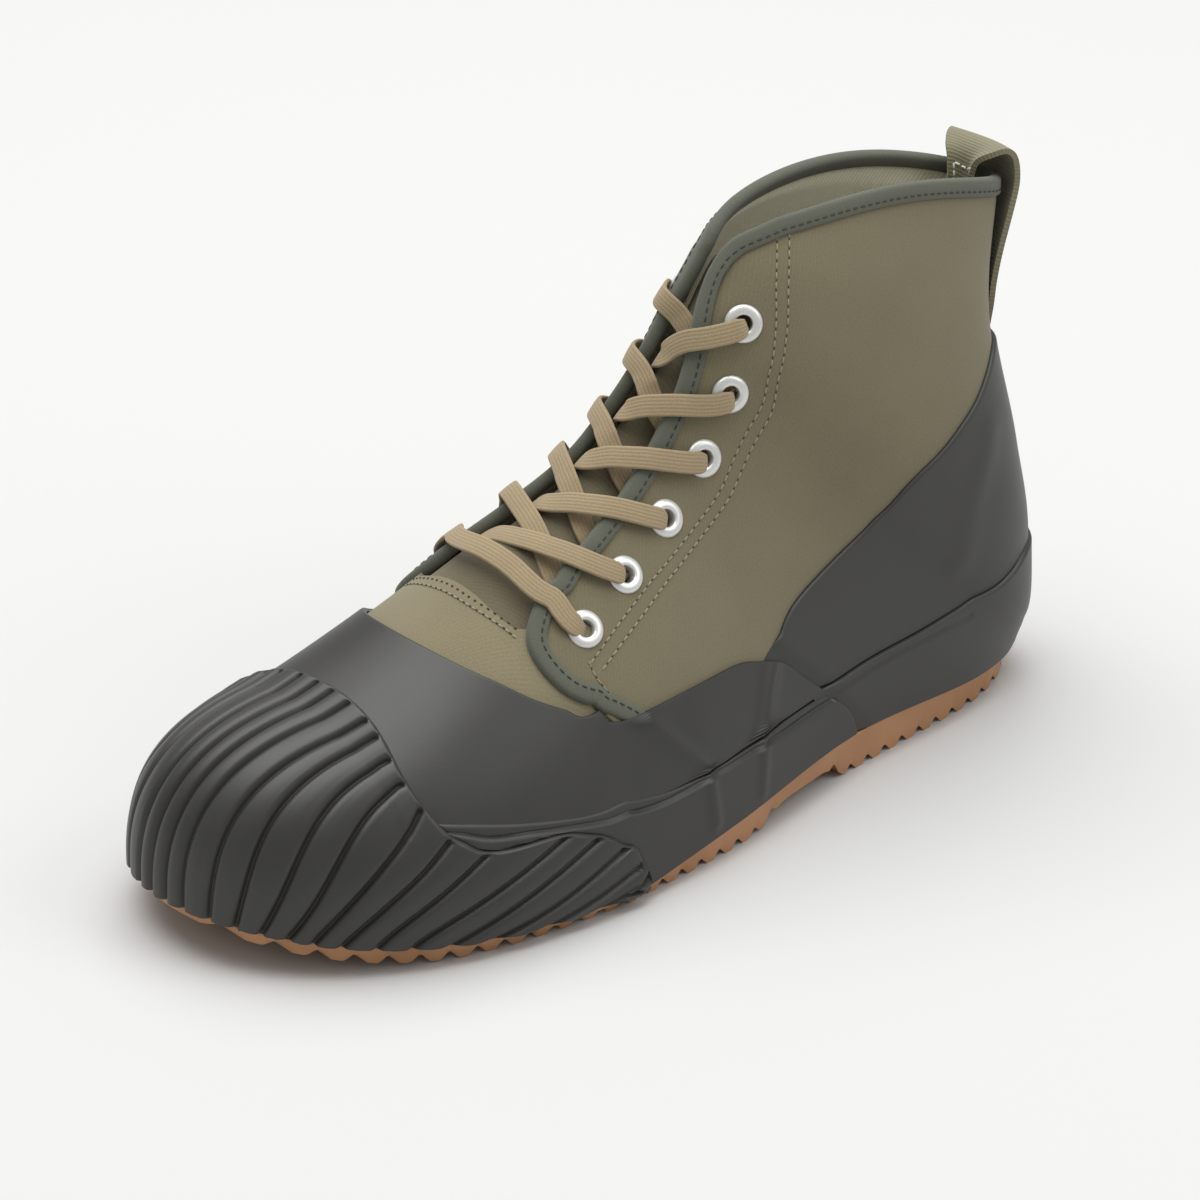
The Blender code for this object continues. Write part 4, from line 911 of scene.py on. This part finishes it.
def make_toe_cap():
    patches = []
    for side in (1, -1):
        place, station, girth = cap_grid(side)
        points = last(station, girth)
        down = unit(np.gradient(points, axis=0))
        along = np.gradient(points, axis=1) / np.gradient(place)[None, :, None]
        pitch = np.linalg.norm(along - np.sum(along * down, axis=2, keepdims=True) * down, axis=2)
        apart = np.abs(place - np.round(place))[None, :]
        groove = np.exp(-((apart * pitch / CAP_GROOVE_WIDTH) ** 2))
        groove = groove * (place[None, :] < len(CAP_GROOVES) - 0.5)
        groove = groove * ramp((side_distance(points, "last_row") - CAP_GROOVE_STOP) / CAP_GROOVE_STOP)
        relief = CAP_CROWN * (4 * apart**2 - 1) - (CAP_RIB_OUT - CAP_GROOVE_OUT) * groove
        patches.append(rubber_patch(station, girth, CAP_IN, CAP_RIB_OUT, ["last_row"],
                                    CAP_RADIUS, CAP_LIP, relief))
    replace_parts(skin("toe_cap_ribbed", patches, [RUBBER], (0, 1)), "toe_cap")


def make_rubber():
    make_mudguard()
    make_toe_cap()
    for name, side in (("foxing_lateral", 1), ("foxing_medial", -1)):
        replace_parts(make_foxing_strip(name, side), name)
    make_heel()


# Soft trim

TONGUE_STATIONS = (0.80, 2.62)
TONGUE_OUT = ((0.80, -0.9), (0.90, -1.1), (0.955, -1.6), (1.00, -2.2), (1.10, -3.6), (1.25, -4.3),
              (2.62, -4.3))
TONGUE_THICK = 1.6
TONGUE_GRID = (150, 61)
TONGUE_PULL = 1.7
TONGUE_HALF = ((0.80, 27.0), (0.955, 27.0), (1.20, 26.0), (1.60, 21.0), (2.00, 17.5), (2.62, 15.0))


def make_tongue():
    rows, columns = TONGUE_GRID
    station = np.linspace(*TONGUE_STATIONS, rows)[:, None]
    half = girth_at_half(station, smooth(TONGUE_HALF, station))
    girth = half * signed_power(np.linspace(-1, 1, columns)[None, :], TONGUE_PULL)
    outer = smooth(TONGUE_OUT, station)
    patch = (station, girth, outer - TONGUE_THICK, outer)
    # The tongue's cloth carries painted shade: it is darker than the canvas
    tongue = skin("tongue_cloth", [patch], [TONGUE_PAINTED_SHADE], (0, 1))
    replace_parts(tongue, "tongue")


BINDING_WIDTH = 3.8
BINDING_THICK = 0.8
BINDING_LIP = 2.6
EDGE_SHOWN = 0.62
EDGE_SHOWN_ROWS = 20
COLLAR_STEPS = 90
NORMAL_SOFTENINGS = 3
BINDING_GAP = 0.15
BINDING_LAP = 0.05
# At a leaf's edge: how far its corner stands out, the corner's height, and how far its top is set back
BINDING_BEVEL = (0.05, 0.45, 0.35)
# The fold's bulge as a share of its half thickness, outside and inside, and the inside's start
BINDING_FOLD = 0.75
BINDING_INNER_FOLD = 0.2
BINDING_INNER_START = 0.25
FOLD_STEPS = (9, 5)
BINDING_RISE = 1.2
BINDING_RISE_FROM = 2.6


def free_edge():
    """Station and girth of the bound edge, from the lateral front over the collar to the medial front."""
    top = throat_girth(COLLAR_STATION, 1)
    collar = top + (1 - top) * np.linspace(0, 1, COLLAR_STEPS)[1:]
    halves = []
    for side in (1, -1):
        (station, girth), _ = quarter_rows(side)
        shown = np.searchsorted(-girth[:EDGE_SHOWN_ROWS], -EDGE_SHOWN)
        station = np.concatenate([station[shown:], np.full(len(collar), COLLAR_STATION)])
        halves.append((station, side * np.concatenate([girth[shown:], collar])))
    return tuple(np.concatenate([lateral, medial[-2::-1]]) for lateral, medial in zip(*halves))


def binding_frame():
    """Points of the free edge, with the wall's normals, the ways into it and the rubber's lap in girth."""
    station, girth = free_edge()
    edge = last(station, girth)
    normal = last_normal(station, girth)
    normal[len(edge) // 2] = (0.0, 1.0, 0.0)
    for _ in range(NORMAL_SOFTENINGS):
        normal = unit(softened(normal))
    tangent = unit(np.gradient(edge, axis=0))
    into = unit(np.cross(tangent, normal))
    rise = BINDING_RISE * ramp((station - BINDING_RISE_FROM) / (COLLAR_STATION - BINDING_RISE_FROM))
    return edge - rise[:, None] * into, normal, into, np.abs(girth) - smooth(COVERED_FROM, station)


def sweep(name, lines, finishes, flat=None):
    """A closed tube from lines that run side by side around a profile, with its two ends closed."""
    points = np.stack(lines, axis=1).reshape(-1, 3)
    return add_object(name, points, tube_faces(len(lines), len(lines[0])), finishes, flat)


def tube_faces(sides, count, first=0):
    """Faces of a tube with its two ends closed."""
    ends = [first + place + np.arange(sides) for place in (0, (count - 1) * sides)]
    return ring_faces(count, sides, first) + [ends[0].tolist(), ends[1][::-1].tolist()]


def binding_profile():
    """Tape folded over the edge, as (into the wall, up the normal), from the outer leaf to the inner one."""
    top = QUARTER_OUT + BINDING_GAP
    under = -EDGE_WALL - BINDING_GAP
    middle, reach = (top + under) / 2, (top - under) / 2
    far = reach + BINDING_THICK
    outer_turn = [(-far * BINDING_FOLD * math.sin(turn), middle + far * math.cos(turn))
                  for turn in np.linspace(0, math.pi, FOLD_STEPS[0])]
    inner_turn = [(BINDING_INNER_START - reach * BINDING_INNER_FOLD * math.sin(turn),
                   middle + reach * math.cos(turn))
                  for turn in np.linspace(math.pi, 0, FOLD_STEPS[1])]
    out, height, back = BINDING_BEVEL
    return [(BINDING_WIDTH, top), (BINDING_WIDTH + out, top + height),
            (BINDING_WIDTH - back, top + BINDING_THICK), *outer_turn,
            (BINDING_LIP - back, under - BINDING_THICK), (BINDING_LIP, under - height), (BINDING_LIP, under),
            *inner_turn]


def make_binding():
    edge, normal, into, lap = binding_frame()
    profile = np.array(binding_profile())
    sunk = (COVERED_OUT - QUARTER_OUT) * ramp((lap - BINDING_LAP) / QUARTER_FADE)[:, None]
    lines = [edge + across * into + (up + sunk) * normal for across, up in profile]
    flat = weave_places(profile[:, 0], lengths(edge))
    tape = sweep("binding_tape", lines, [BINDING], flat)
    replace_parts(tape, "edge_binding")


EYELET_TURNS = 40
# Radius and height over the canvas
EYELET_PROFILE = ((2.3, -0.6), (2.3, 0.62), (2.45, 0.86), (2.8, 1.0), (3.4, 1.02), (4.1, 0.92), (4.6, 0.68),
                  (4.9, 0.36), (5.0, 0.08), (4.95, 0.02), (2.75, 0.02), (2.75, -3.1), (4.3, -3.1),
                  (4.3, -3.35), (3.6, -3.6), (2.7, -3.6), (2.3, -3.3))


def make_eyelet(side, number):
    seat, normal, _ = SEATS[side, number]
    across = unit(np.cross(normal, (0.0, 0.0, 1.0)))
    upward = np.cross(across, normal)
    turns = np.linspace(0, 2 * math.pi, EYELET_TURNS, endpoint=False)
    arms = np.cos(turns)[:, None] * across + np.sin(turns)[:, None] * upward
    points = np.concatenate([[seat + radius * arm + height * normal for radius, height in EYELET_PROFILE]
                             for arm in arms])
    faces = ring_faces(EYELET_TURNS, len(EYELET_PROFILE), closed=True)
    ring = add_object(f"ring_{side}_{number}", points, faces, [EYELET], sharp=40)
    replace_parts(ring, f"eyelet_{side}_{number}")


# Width and thickness of the lace, then both where it is pinched in an eyelet
LACE_WIDTH = 5.8
LACE_THICK = 1.2
LACE_IN_HOLE = (4.1, 1.6)
LACE_PINCH = 4.0
LACE_PINCH_REACH = 1.4
LACE_UNDER = -3.6
LACE_STEP = 1.0
LACE_ON = 2.5
LACE_SIDES = 28
LACE_ROWS = 90
LACE_SOFTENINGS = 4
LACE_CLEAR = 0.1
# Powers that square the profile across and up, then the number, height and reach of its ribs
LACE_SQUARE = (0.55, 0.45)
LACE_RIBS = 5
LACE_RIB_HEIGHT = 0.06
LACE_RIB_REACH = 0.85
# Least length of a cross product that gives the lace's width a sure direction
LACE_SURE = 0.75
# Two knots out of the eyelet: their distances from its middle, and the first one's height
LACE_START = (0.3, 1.4)
LACE_START_Z = -1.0
# How far a stretch has climbed from eyelet to eyelet, by its distance across as a share of the eyelet's
LATERAL_CLIMB = ((-1.00, -0.05), (-0.30, -0.05), (0.00, -0.05), (0.45, 0.25), (0.75, 0.58), (0.90, 0.80))
MEDIAL_CLIMB = ((-1.00, 0.02), (-0.70, 0.10), (-0.40, 0.30), (0.00, 0.52), (0.30, 0.66), (0.72, 0.95))
# Heights of the stretches, with their distance across as a share of the throat's half
LATERAL_HEIGHTS = ((-1.00, -3.6), (-0.50, -3.2), (0.00, -2.3), (0.60, 0.4), (0.98, 2.8))
MEDIAL_HEIGHTS = ((-1.00, -3.1), (-0.45, -3.0), (0.10, -1.6), (0.95, 3.6))
# From the last of the climb into the eyelet: share of the way and height
LACE_ENDING = ((0.00, 2.9), (0.45, 2.5), (0.68, 1.8), (0.80, 0.4), (0.86, -1.2))


def lace_profile():
    """Outline of the flat lace, as shares of its half width and half thickness, with lengthwise ribs."""
    turns = np.linspace(0, 2 * math.pi, LACE_SIDES, endpoint=False)
    across = signed_power(np.cos(turns), LACE_SQUARE[0])
    up = signed_power(np.sin(turns), LACE_SQUARE[1])
    rib = LACE_RIB_HEIGHT * np.cos(across * LACE_RIBS * math.pi) * (np.abs(across) < LACE_RIB_REACH)
    return across, up * (1 + rib)


def over_last(station, across, height):
    """Points and normals at a distance across and a height over the last."""
    return raised(station, np.sign(across) * girth_at_half(station, np.abs(across)), height)


def lace_points(knots):
    """Points, normals and lengths of a route through knots of (station, distance across, height)."""
    length = lengths(over_last(*np.array(knots, float).T)[0])
    even = np.linspace(0, length[-1], LACE_ROWS)
    return *over_last(*smooth_columns(knots, even, length)), even


def lace_band(knots):
    """Points of one stretch of lace, which lies in an eyelet at both ends, and their places on the weave."""
    path, normal, even = lace_points(knots)
    for _ in range(LACE_SOFTENINGS):
        path = softened(path)
        normal = unit(softened(normal))
    tangent = unit(np.gradient(path, axis=0))
    wide = np.cross(tangent, normal)
    sure = np.linalg.norm(wide, axis=1) > LACE_SURE
    wide = sampled(even, even[sure], wide[sure])
    wide = unit(wide - np.sum(wide * tangent, axis=1, keepdims=True) * tangent)
    rise = np.cross(wide, tangent)
    pinch = ramp(LACE_PINCH_REACH - np.minimum(even, even[-1] - even) / LACE_PINCH)[:, None]
    half_width, half_thick = ((free + (held - free) * pinch) / 2
                              for free, held in zip((LACE_WIDTH, LACE_THICK), LACE_IN_HOLE))
    across, up = lace_profile()
    points = (path[:, None] + across[None, :, None] * (half_width * wide)[:, None]
              + up[None, :, None] * (half_thick * rise)[:, None])
    return points.reshape(-1, 3), weave_places(across * LACE_WIDTH / 2, even)


def eyelet_half(number):
    """Distance across to an eyelet in the lateral sections, which place the knots of both sides."""
    return abs(SEATS["lateral", number][0][0])


def over_tongue(station):
    """Height of a lace that lies on the tongue."""
    return float(smooth(TONGUE_OUT, station)) + LACE_THICK / 2 + LACE_CLEAR


def crossing_knots(end, number, climb, heights):
    """A stretch from inside an eyelet, over the tongue and into the next eyelet on the end's side."""
    side = 1 if end == "lateral" else -1
    low, high = (SEATS[end, place][2] for place in (number, number + 1))
    step = high - low
    first_half, after_half = eyelet_half(number), eyelet_half(number + 1)
    after_across = abs(SEATS[end, number + 1][0][0])
    knots = [(low, LACE_START[0] - first_half, LACE_START_Z),
             (low, LACE_START[1] - first_half, max(LACE_UNDER, over_tongue(low)))]
    for share, height in heights:
        edge = float(throat_half(low + 0.5 * step, side if share > 0 else -side))
        station = low + step * float(smooth(climb, share * edge / after_across))
        knots.append((station, share * edge, max(height, over_tongue(station))))
    share, climbed = climb[-1]
    reach = max(share * after_across, knots[-1][1] + LACE_STEP)
    for way, height in LACE_ENDING:
        station = low + step * (climbed + (1 - climbed) * way)
        knots.append((station, reach + (after_half - reach) * way, height))
    return [(station, side * across, height) for station, across, height in knots]


def bar_knots():
    """The bar between the lowest eyelets, from knots of (sag in stations, distance across, height)."""
    station = SEATS["lateral", 1][2]
    edge = float(throat_half(station, 1))
    half = eyelet_half(1)
    knots = [(0.0, -half + 0.4, -1.2), (-0.004, -half + 0.8, 0.3),
             (-0.014, -half + 1.8, LACE_ON - 0.7), (-0.028, -half + 3.4, LACE_ON),
             (-0.044, -edge - 0.8, 3.2), (-0.056, -0.5 * edge, 2.7), (-0.056, 0.5 * edge, 2.6),
             (-0.051, edge + 1.2, 2.5), (-0.042, half - 3.2, LACE_ON - 0.2),
             (-0.024, half - 1.4, LACE_ON - 0.7), (-0.010, half - 0.7, 0.3), (0.0, half - 0.4, -1.2)]
    return [(station + sag, across, height) for sag, across, height in knots]


def make_laces():
    stretches = [bar_knots()]
    for number in range(1, len(EYELETS)):
        stretches.append(crossing_knots("medial", number, MEDIAL_CLIMB, MEDIAL_HEIGHTS))
        stretches.append(crossing_knots("lateral", number, LATERAL_CLIMB, LATERAL_HEIGHTS))
    points, flats = zip(*(lace_band(knots) for knots in stretches))
    faces = []
    for place in range(len(stretches)):
        faces += tube_faces(LACE_SIDES, LACE_ROWS, place * LACE_SIDES * LACE_ROWS)
    lace = add_object("lace", np.concatenate(points), faces, [LACE], np.concatenate(flats))
    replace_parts(lace, "lace_bar", *(f"lace_crossing_{number}" for number in range(1, len(EYELETS))))


LOOP_WIDTH = 24.0
LOOP_THICK = 1.5
LOOP_GRID = (60, 15)
ARC_STEPS = 200
# Heights of the box stitch on the inner end, and its first and last column
LOOP_BOX = (144.5, 136.5)
LOOP_BOX_COLUMNS = (3, 11)
# Height, stand-off from the last and share of its wrap round the heel
LOOP_ROWS = (
    (101.5, 1.5, 1.00),
    (107.0, 2.6, 1.00),
    (114.0, 3.1, 0.95),
    (122.5, 3.6, 0.80),
    (132.0, 4.2, 0.60),
    (141.0, 4.6, 0.45),
    (147.5, 3.4, 0.40),
    (150.4, 0.4, 0.40),
    (149.8, -3.6, 0.50),
    (146.0, -6.6, 0.85),
    (137.0, -7.0, 1.00),
    (128.0, -5.6, 1.00),
)


def around_heel(height, stand_off, across):
    """A point that far off the last, at an arc length from the back seam."""
    station = float(smooth([(row[2], row[0]) for row in LAST_ROWS if row[0] > HEEL_STATION], height))
    girth = np.linspace(1.0, 0.5, ARC_STEPS)
    arc = last(np.full(ARC_STEPS, station), girth)
    place = np.interp(abs(across), lengths(arc), girth) * (1 if across > 0 else -1)
    seat = last(station, place)
    normal = last_normal(station, place) if across else np.array((0.0, 1.0, 0.0))
    above = np.array((0.0, 0.0, max(height - LAST_ROWS[-1][2], 0.0)))
    return seat + stand_off * normal + above


def make_pull_loop():
    rows, columns = LOOP_GRID
    height, stand_off, wrap = smooth_columns(LOOP_ROWS, np.linspace(0, 1, rows))
    across = (eased(columns) - 0.5) * LOOP_WIDTH
    outer = np.empty((rows, columns, 3))
    for row in range(rows):
        middle = around_heel(height[row], stand_off[row], 0.0)
        for column in range(columns):
            flat = np.array((across[column], middle[1], height[row]))
            wrapped = around_heel(height[row], stand_off[row], across[column])
            outer[row, column] = wrap[row] * wrapped + (1 - wrap[row]) * flat
    normal = unit(np.cross(np.gradient(outer, axis=1), np.gradient(outer, axis=0)))
    inner = outer + LOOP_THICK * normal
    lines = list(np.moveaxis(outer, 1, 0)) + list(np.moveaxis(inner, 1, 0))[::-1]
    flat = weave_places(np.concatenate([across, across[::-1]]), lengths(outer[:, 0]))
    webbing = sweep("pull_loop_webbing", lines, [WEBBING], flat)
    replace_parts(webbing, "pull_loop")
    inside = np.flatnonzero((stand_off < 0) & (height < LOOP_BOX[0]) & (height > LOOP_BOX[1]))
    start, end = LOOP_BOX_COLUMNS
    width = slice(start, end + 1)
    box = [(inside, start), (inside, end), (inside[:1], width), (inside[-1:], width)]
    routes = [(outer[part].reshape(-1, 3), -normal[part].reshape(-1, 3)) for part in box]
    sew("seams_loop", routes, LOOP_STITCH, WHITE_THREAD)


# Seams

# Stitch rows on the canvas, as station and girth
QUARTER_SEAMS = (
    ((2.955, 0.150), (2.549, 0.145), (2.123, 0.150), (1.914, 0.160), (1.697, 0.196), (1.539, 0.240),
     (1.388, 0.275), (1.276, 0.290), (1.163, 0.315), (1.054, 0.345)),
    ((2.955, 0.115), (2.528, 0.115), (2.086, 0.130), (1.898, 0.142), (1.693, 0.174), (1.534, 0.217),
     (1.380, 0.248), (1.263, 0.258), (1.146, 0.280), (1.015, 0.315)),
    ((1.020, 0.300), (1.022, 0.345), (1.035, 0.395), (1.050, 0.440)),
)
# Stitch rows on the vamp, in plan
VAMP_SEAMS = (
    ((-21.0, -52.6), (-12.0, -54.4), (-3.4, -55.0), (6.3, -54.9), (14.2, -53.3), (21.5, -50.9)),
    ((-21.0, -54.6), (-12.0, -56.4), (-3.4, -57.0), (6.3, -56.6), (14.2, -55.0), (21.5, -52.6)),
)
STITCH_SIDES = 6
STITCH_RINGS = ((-0.5, 0.35), (-0.3, 1.0), (0.3, 1.0), (0.5, 0.35))
BINDING_SEAM = 2.5
SEAM_OUT = 0.05
SEAM_STEPS = 200
VAMP_SEAM_STEPS = 80
# Pitch, length and radius of the stitches and of the pinholes between them, whose dark marks are painted
# shade
QUARTER_STITCH = (2.5, 1.7, 0.26)
QUARTER_HOLE_SHADE = (2.5, 0.6, 0.20)
VAMP_STITCH = (2.2, 1.4, 0.32)
VAMP_HOLE_SHADE = (2.2, 0.8, 0.26)
BINDING_STITCH = (2.4, 1.6, 0.24)
LOOP_STITCH = (2.0, 1.6, 0.30)


def sew(name, routes, stitch, finish, start=0.5):
    """Stitches along routes of (points, normals), as one mesh, from a share of the pitch on."""
    pitch, length, radius = stitch
    turns = np.linspace(0, 2 * math.pi, STITCH_SIDES, endpoint=False)
    rings, faces = [], []
    for path, normal in routes:
        run = lengths(path)
        at = np.arange(start * pitch, run[-1], pitch)
        tangent = unit(np.gradient(path, axis=0))
        middle, up, ahead = (sampled(at, run, values) for values in (path, normal, tangent))
        ahead = unit(ahead)
        across = unit(np.cross(ahead, up))
        up = np.cross(across, ahead)
        for place in range(len(at)):
            faces += tube_faces(STITCH_SIDES, len(STITCH_RINGS), STITCH_SIDES * len(rings))
            arms = np.cos(turns)[:, None] * across[place] + np.sin(turns)[:, None] * up[place]
            rings += [middle[place] + along * length * ahead[place] + share * radius * arms
                      for along, share in STITCH_RINGS]
    return add_object(name, np.concatenate(rings), faces, [finish])


def make_seams():
    routes = []
    for rows in QUARTER_SEAMS:
        station, girth = line_on_last(rows, SEAM_STEPS)
        routes += [raised(station, side * girth, QUARTER_OUT + SEAM_OUT) for side in (1, -1)]
    sew("seams_quarters", routes, QUARTER_STITCH, THREAD)
    # Dark marks between the stitches: painted shade of the pinholes
    sew("hole_shade_quarters", routes, QUARTER_HOLE_SHADE, HOLE_SHADE, 1.0)
    routes = []
    for rows in VAMP_SEAMS:
        x, y = smooth_columns(rows, np.linspace(0, 1, VAMP_SEAM_STEPS))
        routes.append(raised(*place_in_plan(x, y), SEAM_OUT))
    sew("seams_vamp", routes[1:], VAMP_STITCH, THREAD)
    # Dark marks along the vamp's rows: painted shade of the pinholes
    sew("hole_shade_vamp", routes, VAMP_HOLE_SHADE, HOLE_SHADE, 1.0)
    edge, normal, into, lap = binding_frame()
    bare = lap < COVERED_LAP
    seam = edge + BINDING_SEAM * into + (QUARTER_OUT + BINDING_GAP + BINDING_THICK) * normal
    sew("seam_binding", [(seam[bare], normal[bare])], BINDING_STITCH, DARK_THREAD)


# Sole

SOLE_EDGE = 2.2
SOLE_HEEL_EDGE = 0.6
SOLE_HEEL_FROM_Y = (50.0, 100.0)
SOLE_UNDERCUT = 1.6
SOLE_TOOTH_PITCH = 7.2
SOLE_TOOTH_DEPTH = 2.2
SOLE_TOE_LIFT = 9.0
SOLE_TOE_FROM_Y = -84.0
SOLE_ARCH_Y = (6.0, 22.0, 38.0, 50.0)
SOLE_ARCH_LIFT = 4.6
PLATFORM_Z = 11.0
PLATFORM_TOE_SHARE = 0.5
PLATFORM_INSET = 3.5
SOLE_GAP = 0.5
SOLE_POINTS = 900
SOLE_COLUMNS = 25
SECTION_STEPS = 60
SOLE_LEAST = 0.8
SOLE_HOLLOW = 6.0
# Outset and height of the rounded top edge
SOLE_LIP = ((-0.4, -1.0), (0.0, -0.5), (-0.1, 0.0))
TOE_LIFT_LIMIT = 1.2
# Share of a tooth that is flat, and where on the arch's rise the teeth fade
TOOTH_FLAT = 0.25
TOOTH_FADE_FROM = 3.4
# Insets and heights of the insole's rings
INSOLE_RINGS = ((4.6, 0.0), (4.6, 2.2), (4.9, 2.75), (5.5, 3.0))
INSOLE_GAP = 0.3
INSOLE_POINTS = 240
# Stations between which the foot line's points are evenly spaced, and the number in each of its parts
FOOT_LINE_EVEN = (0.2, 1.6)
FOOT_LINE_COUNTS = (120, 400, 160)


def foot_line():
    """The closed line where last and sole meet, from the toe along the lateral side, with plan normals."""
    start, end = FOOT_LINE_EVEN
    toe, middle, heel = FOOT_LINE_COUNTS
    out = np.concatenate([start * np.linspace(0, 1, toe)[:-1] ** 2, np.linspace(start, end, middle)[:-1],
                          HEEL_STATION - (HEEL_STATION - end) * np.linspace(1, 0, heel) ** 2])
    lateral = last(out, np.ones_like(out))
    medial = last(out[::-1][1:-1], -np.ones(len(out) - 2))
    line = np.concatenate([lateral, medial])
    ahead = np.roll(line, -1, axis=0) - np.roll(line, 1, axis=0)
    normal = unit(np.stack([-ahead[:, 1], ahead[:, 0], np.zeros(len(line))], -1))
    outward = np.sign(np.sum(normal * (line - line.mean(axis=0)), axis=1).sum())
    return line, outward * normal


def sole_loop(count):
    """Evenly spaced points of the foot line, with their plan normals."""
    line, normal = foot_line()
    closed = np.concatenate([line, line[:1]])
    shares = np.arange(count) / count
    points = along_path(closed, closed, shares)
    normals = along_path(closed, np.concatenate([normal, normal[:1]]), shares)
    return points, unit(normals)


def sole_bottom(y):
    """Lift of the sole at the toe and at the arch."""
    toe_share = np.clip((SOLE_TOE_FROM_Y - y) / (SOLE_TOE_FROM_Y - TOE_Y), 0, TOE_LIFT_LIMIT)
    front, front_top, back_top, back = SOLE_ARCH_Y
    arch = ramp((y - front) / (front_top - front)) * ramp((back - y) / (back - back_top))
    return SOLE_TOE_LIFT * toe_share**2, SOLE_ARCH_LIFT * arch


def platform_height(y):
    """Height of the sole's top inside the upper."""
    return PLATFORM_Z + PLATFORM_TOE_SHARE * sole_bottom(y)[0]


def tread(y):
    """Height of the bottom over the floor: toe spring, arch and cross ridges."""
    toe, arch = sole_bottom(y)
    phase = (y / SOLE_TOOTH_PITCH) % 1.0
    notch = SOLE_TOOTH_DEPTH * ramp((np.abs(phase - 0.5) * 2 - TOOTH_FLAT) / (1 - TOOTH_FLAT))
    return toe + arch + notch * (1 - np.clip(arch - TOOTH_FADE_FROM, 0, 1))


def make_outsole():
    points, normals = sole_loop(SOLE_POINTS)
    heel_from, heel_to = SOLE_HEEL_FROM_Y
    back = ramp((points[:, 1:2] - heel_from) / (heel_to - heel_from))
    edge = SOLE_EDGE + (SOLE_HEEL_EDGE - SOLE_EDGE) * back
    foot_y, foot_z = section(np.linspace(0, HEEL_STATION, SECTION_STEPS), True)[:2]
    flange = np.minimum(points[:, 2], np.interp(points[:, 1], foot_y, foot_z)) - SOLE_GAP

    def ring(outset, height):
        made = points + outset * normals
        made[:, 2] = height
        return made

    low = ring(edge - SOLE_UNDERCUT, 0.0)
    low[:, 2] = np.minimum(tread(low[:, 1]), flange - SOLE_LEAST)
    platform = ring(-PLATFORM_INSET, 0.0)
    platform[:, 2] = platform_height(platform[:, 1])
    rings = [low, *(ring(edge + outset, flange + height) for outset, height in SOLE_LIP),
             ring(-PLATFORM_INSET, flange), platform]
    lateral = np.arange(SOLE_POINTS // 2 + 1)
    medial = (SOLE_POINTS - lateral) % SOLE_POINTS
    share = np.linspace(0, 1, SOLE_COLUMNS)[None, 1:-1, None]
    inside = low[lateral, None] + (low[medial] - low[lateral])[:, None] * share
    inside[..., 2] = np.minimum(tread(inside[..., 1]), inside[..., 2] + SOLE_HOLLOW)
    index = len(rings) * SOLE_POINTS + np.arange(inside[..., 0].size).reshape(inside.shape[:2])
    index = np.concatenate([lateral[:, None], index, medial[:, None]], axis=1)
    faces = ring_faces(len(rings), SOLE_POINTS) + across_faces((len(rings) - 1) * SOLE_POINTS, SOLE_POINTS)
    faces += whole_faces(grid_faces(index).tolist())
    points = np.concatenate([*rings, inside.reshape(-1, 3)])
    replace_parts(add_object("gum_sole", points, faces, [GUM], sharp=35), "outsole")


def make_insole():
    points, normals = sole_loop(INSOLE_POINTS)
    low = platform_height(points[:, 1]) + INSOLE_GAP
    rings = []
    for inset, height in INSOLE_RINGS:
        ring = points - inset * normals
        ring[:, 2] = low + height
        rings.append(ring)
    faces = ring_faces(len(rings), INSOLE_POINTS)
    for first in (0, (len(rings) - 1) * INSOLE_POINTS):
        faces += across_faces(first, INSOLE_POINTS)
    made = np.concatenate(rings)
    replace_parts(add_object("insole_cloth", made, faces, [INSOLE], made[:, :2]), "insole")


# Stage

# Lamps as name, watts, size and place in metres, which face the middle of the floor
STAGE_LIGHTS = (("window", 72, 2.6, (-0.45, 0.1, 2.2)), ("side", 10, 1.2, (1.3, 1.0, 1.4)))
FLOOR_REACH = 4.0
FLOOR_COLOUR = (0.60, 0.60, 0.592)
FLOOR_ROUGHNESS = 0.9
SKY = {"Color": (1.0, 0.995, 0.985, 1.0), "Strength": 0.44}


def facing(way):
    """Rotation of a lamp or camera that looks this way."""
    return math.atan2(math.hypot(way[0], way[1]), -way[2]), 0.0, math.atan2(-way[0], way[1])


def make_stage():
    mesh = bpy.data.meshes.new("floor")
    corners = ((-1, -1), (1, -1), (1, 1), (-1, 1))
    mesh.from_pydata([(x * FLOOR_REACH, y * FLOOR_REACH, 0) for x, y in corners], [], [(0, 1, 2, 3)])
    mesh.materials.append(plain("floor", FLOOR_COLOUR, FLOOR_ROUGHNESS))
    floor = new_object("floor", mesh)
    world = bpy.data.worlds.new("studio")
    bpy.context.scene.world = world
    world.use_nodes = True
    set_inputs(world.node_tree, world.node_tree.nodes["Background"], SKY)
    for name, energy, size, place in STAGE_LIGHTS:
        lamp = bpy.data.lights.new(name, "AREA")
        lamp.energy = energy
        lamp.size = size
        light = new_object(name, lamp)
        light.location = place
        light.rotation_euler = facing(-np.array(place))


def make_camera():
    camera = new_object("camera", bpy.data.cameras.new("camera"))
    camera.location = (CAMERA + SHIFT) * MM
    camera.rotation_euler = facing(CAMERA_AIM - CAMERA)
    camera.data.lens = CAMERA_LENS
    camera.data.sensor_width = SENSOR
    bpy.context.scene.camera = camera


make_camera()
make_stage()
make_upper()
make_rubber()
make_tongue()
make_binding()
for side_name, eyelet_number in SEATS:
    make_eyelet(side_name, eyelet_number)
make_laces()
make_pull_loop()
make_seams()
make_outsole()
make_insole()
bpy.context.scene.view_settings.view_transform = "Standard"
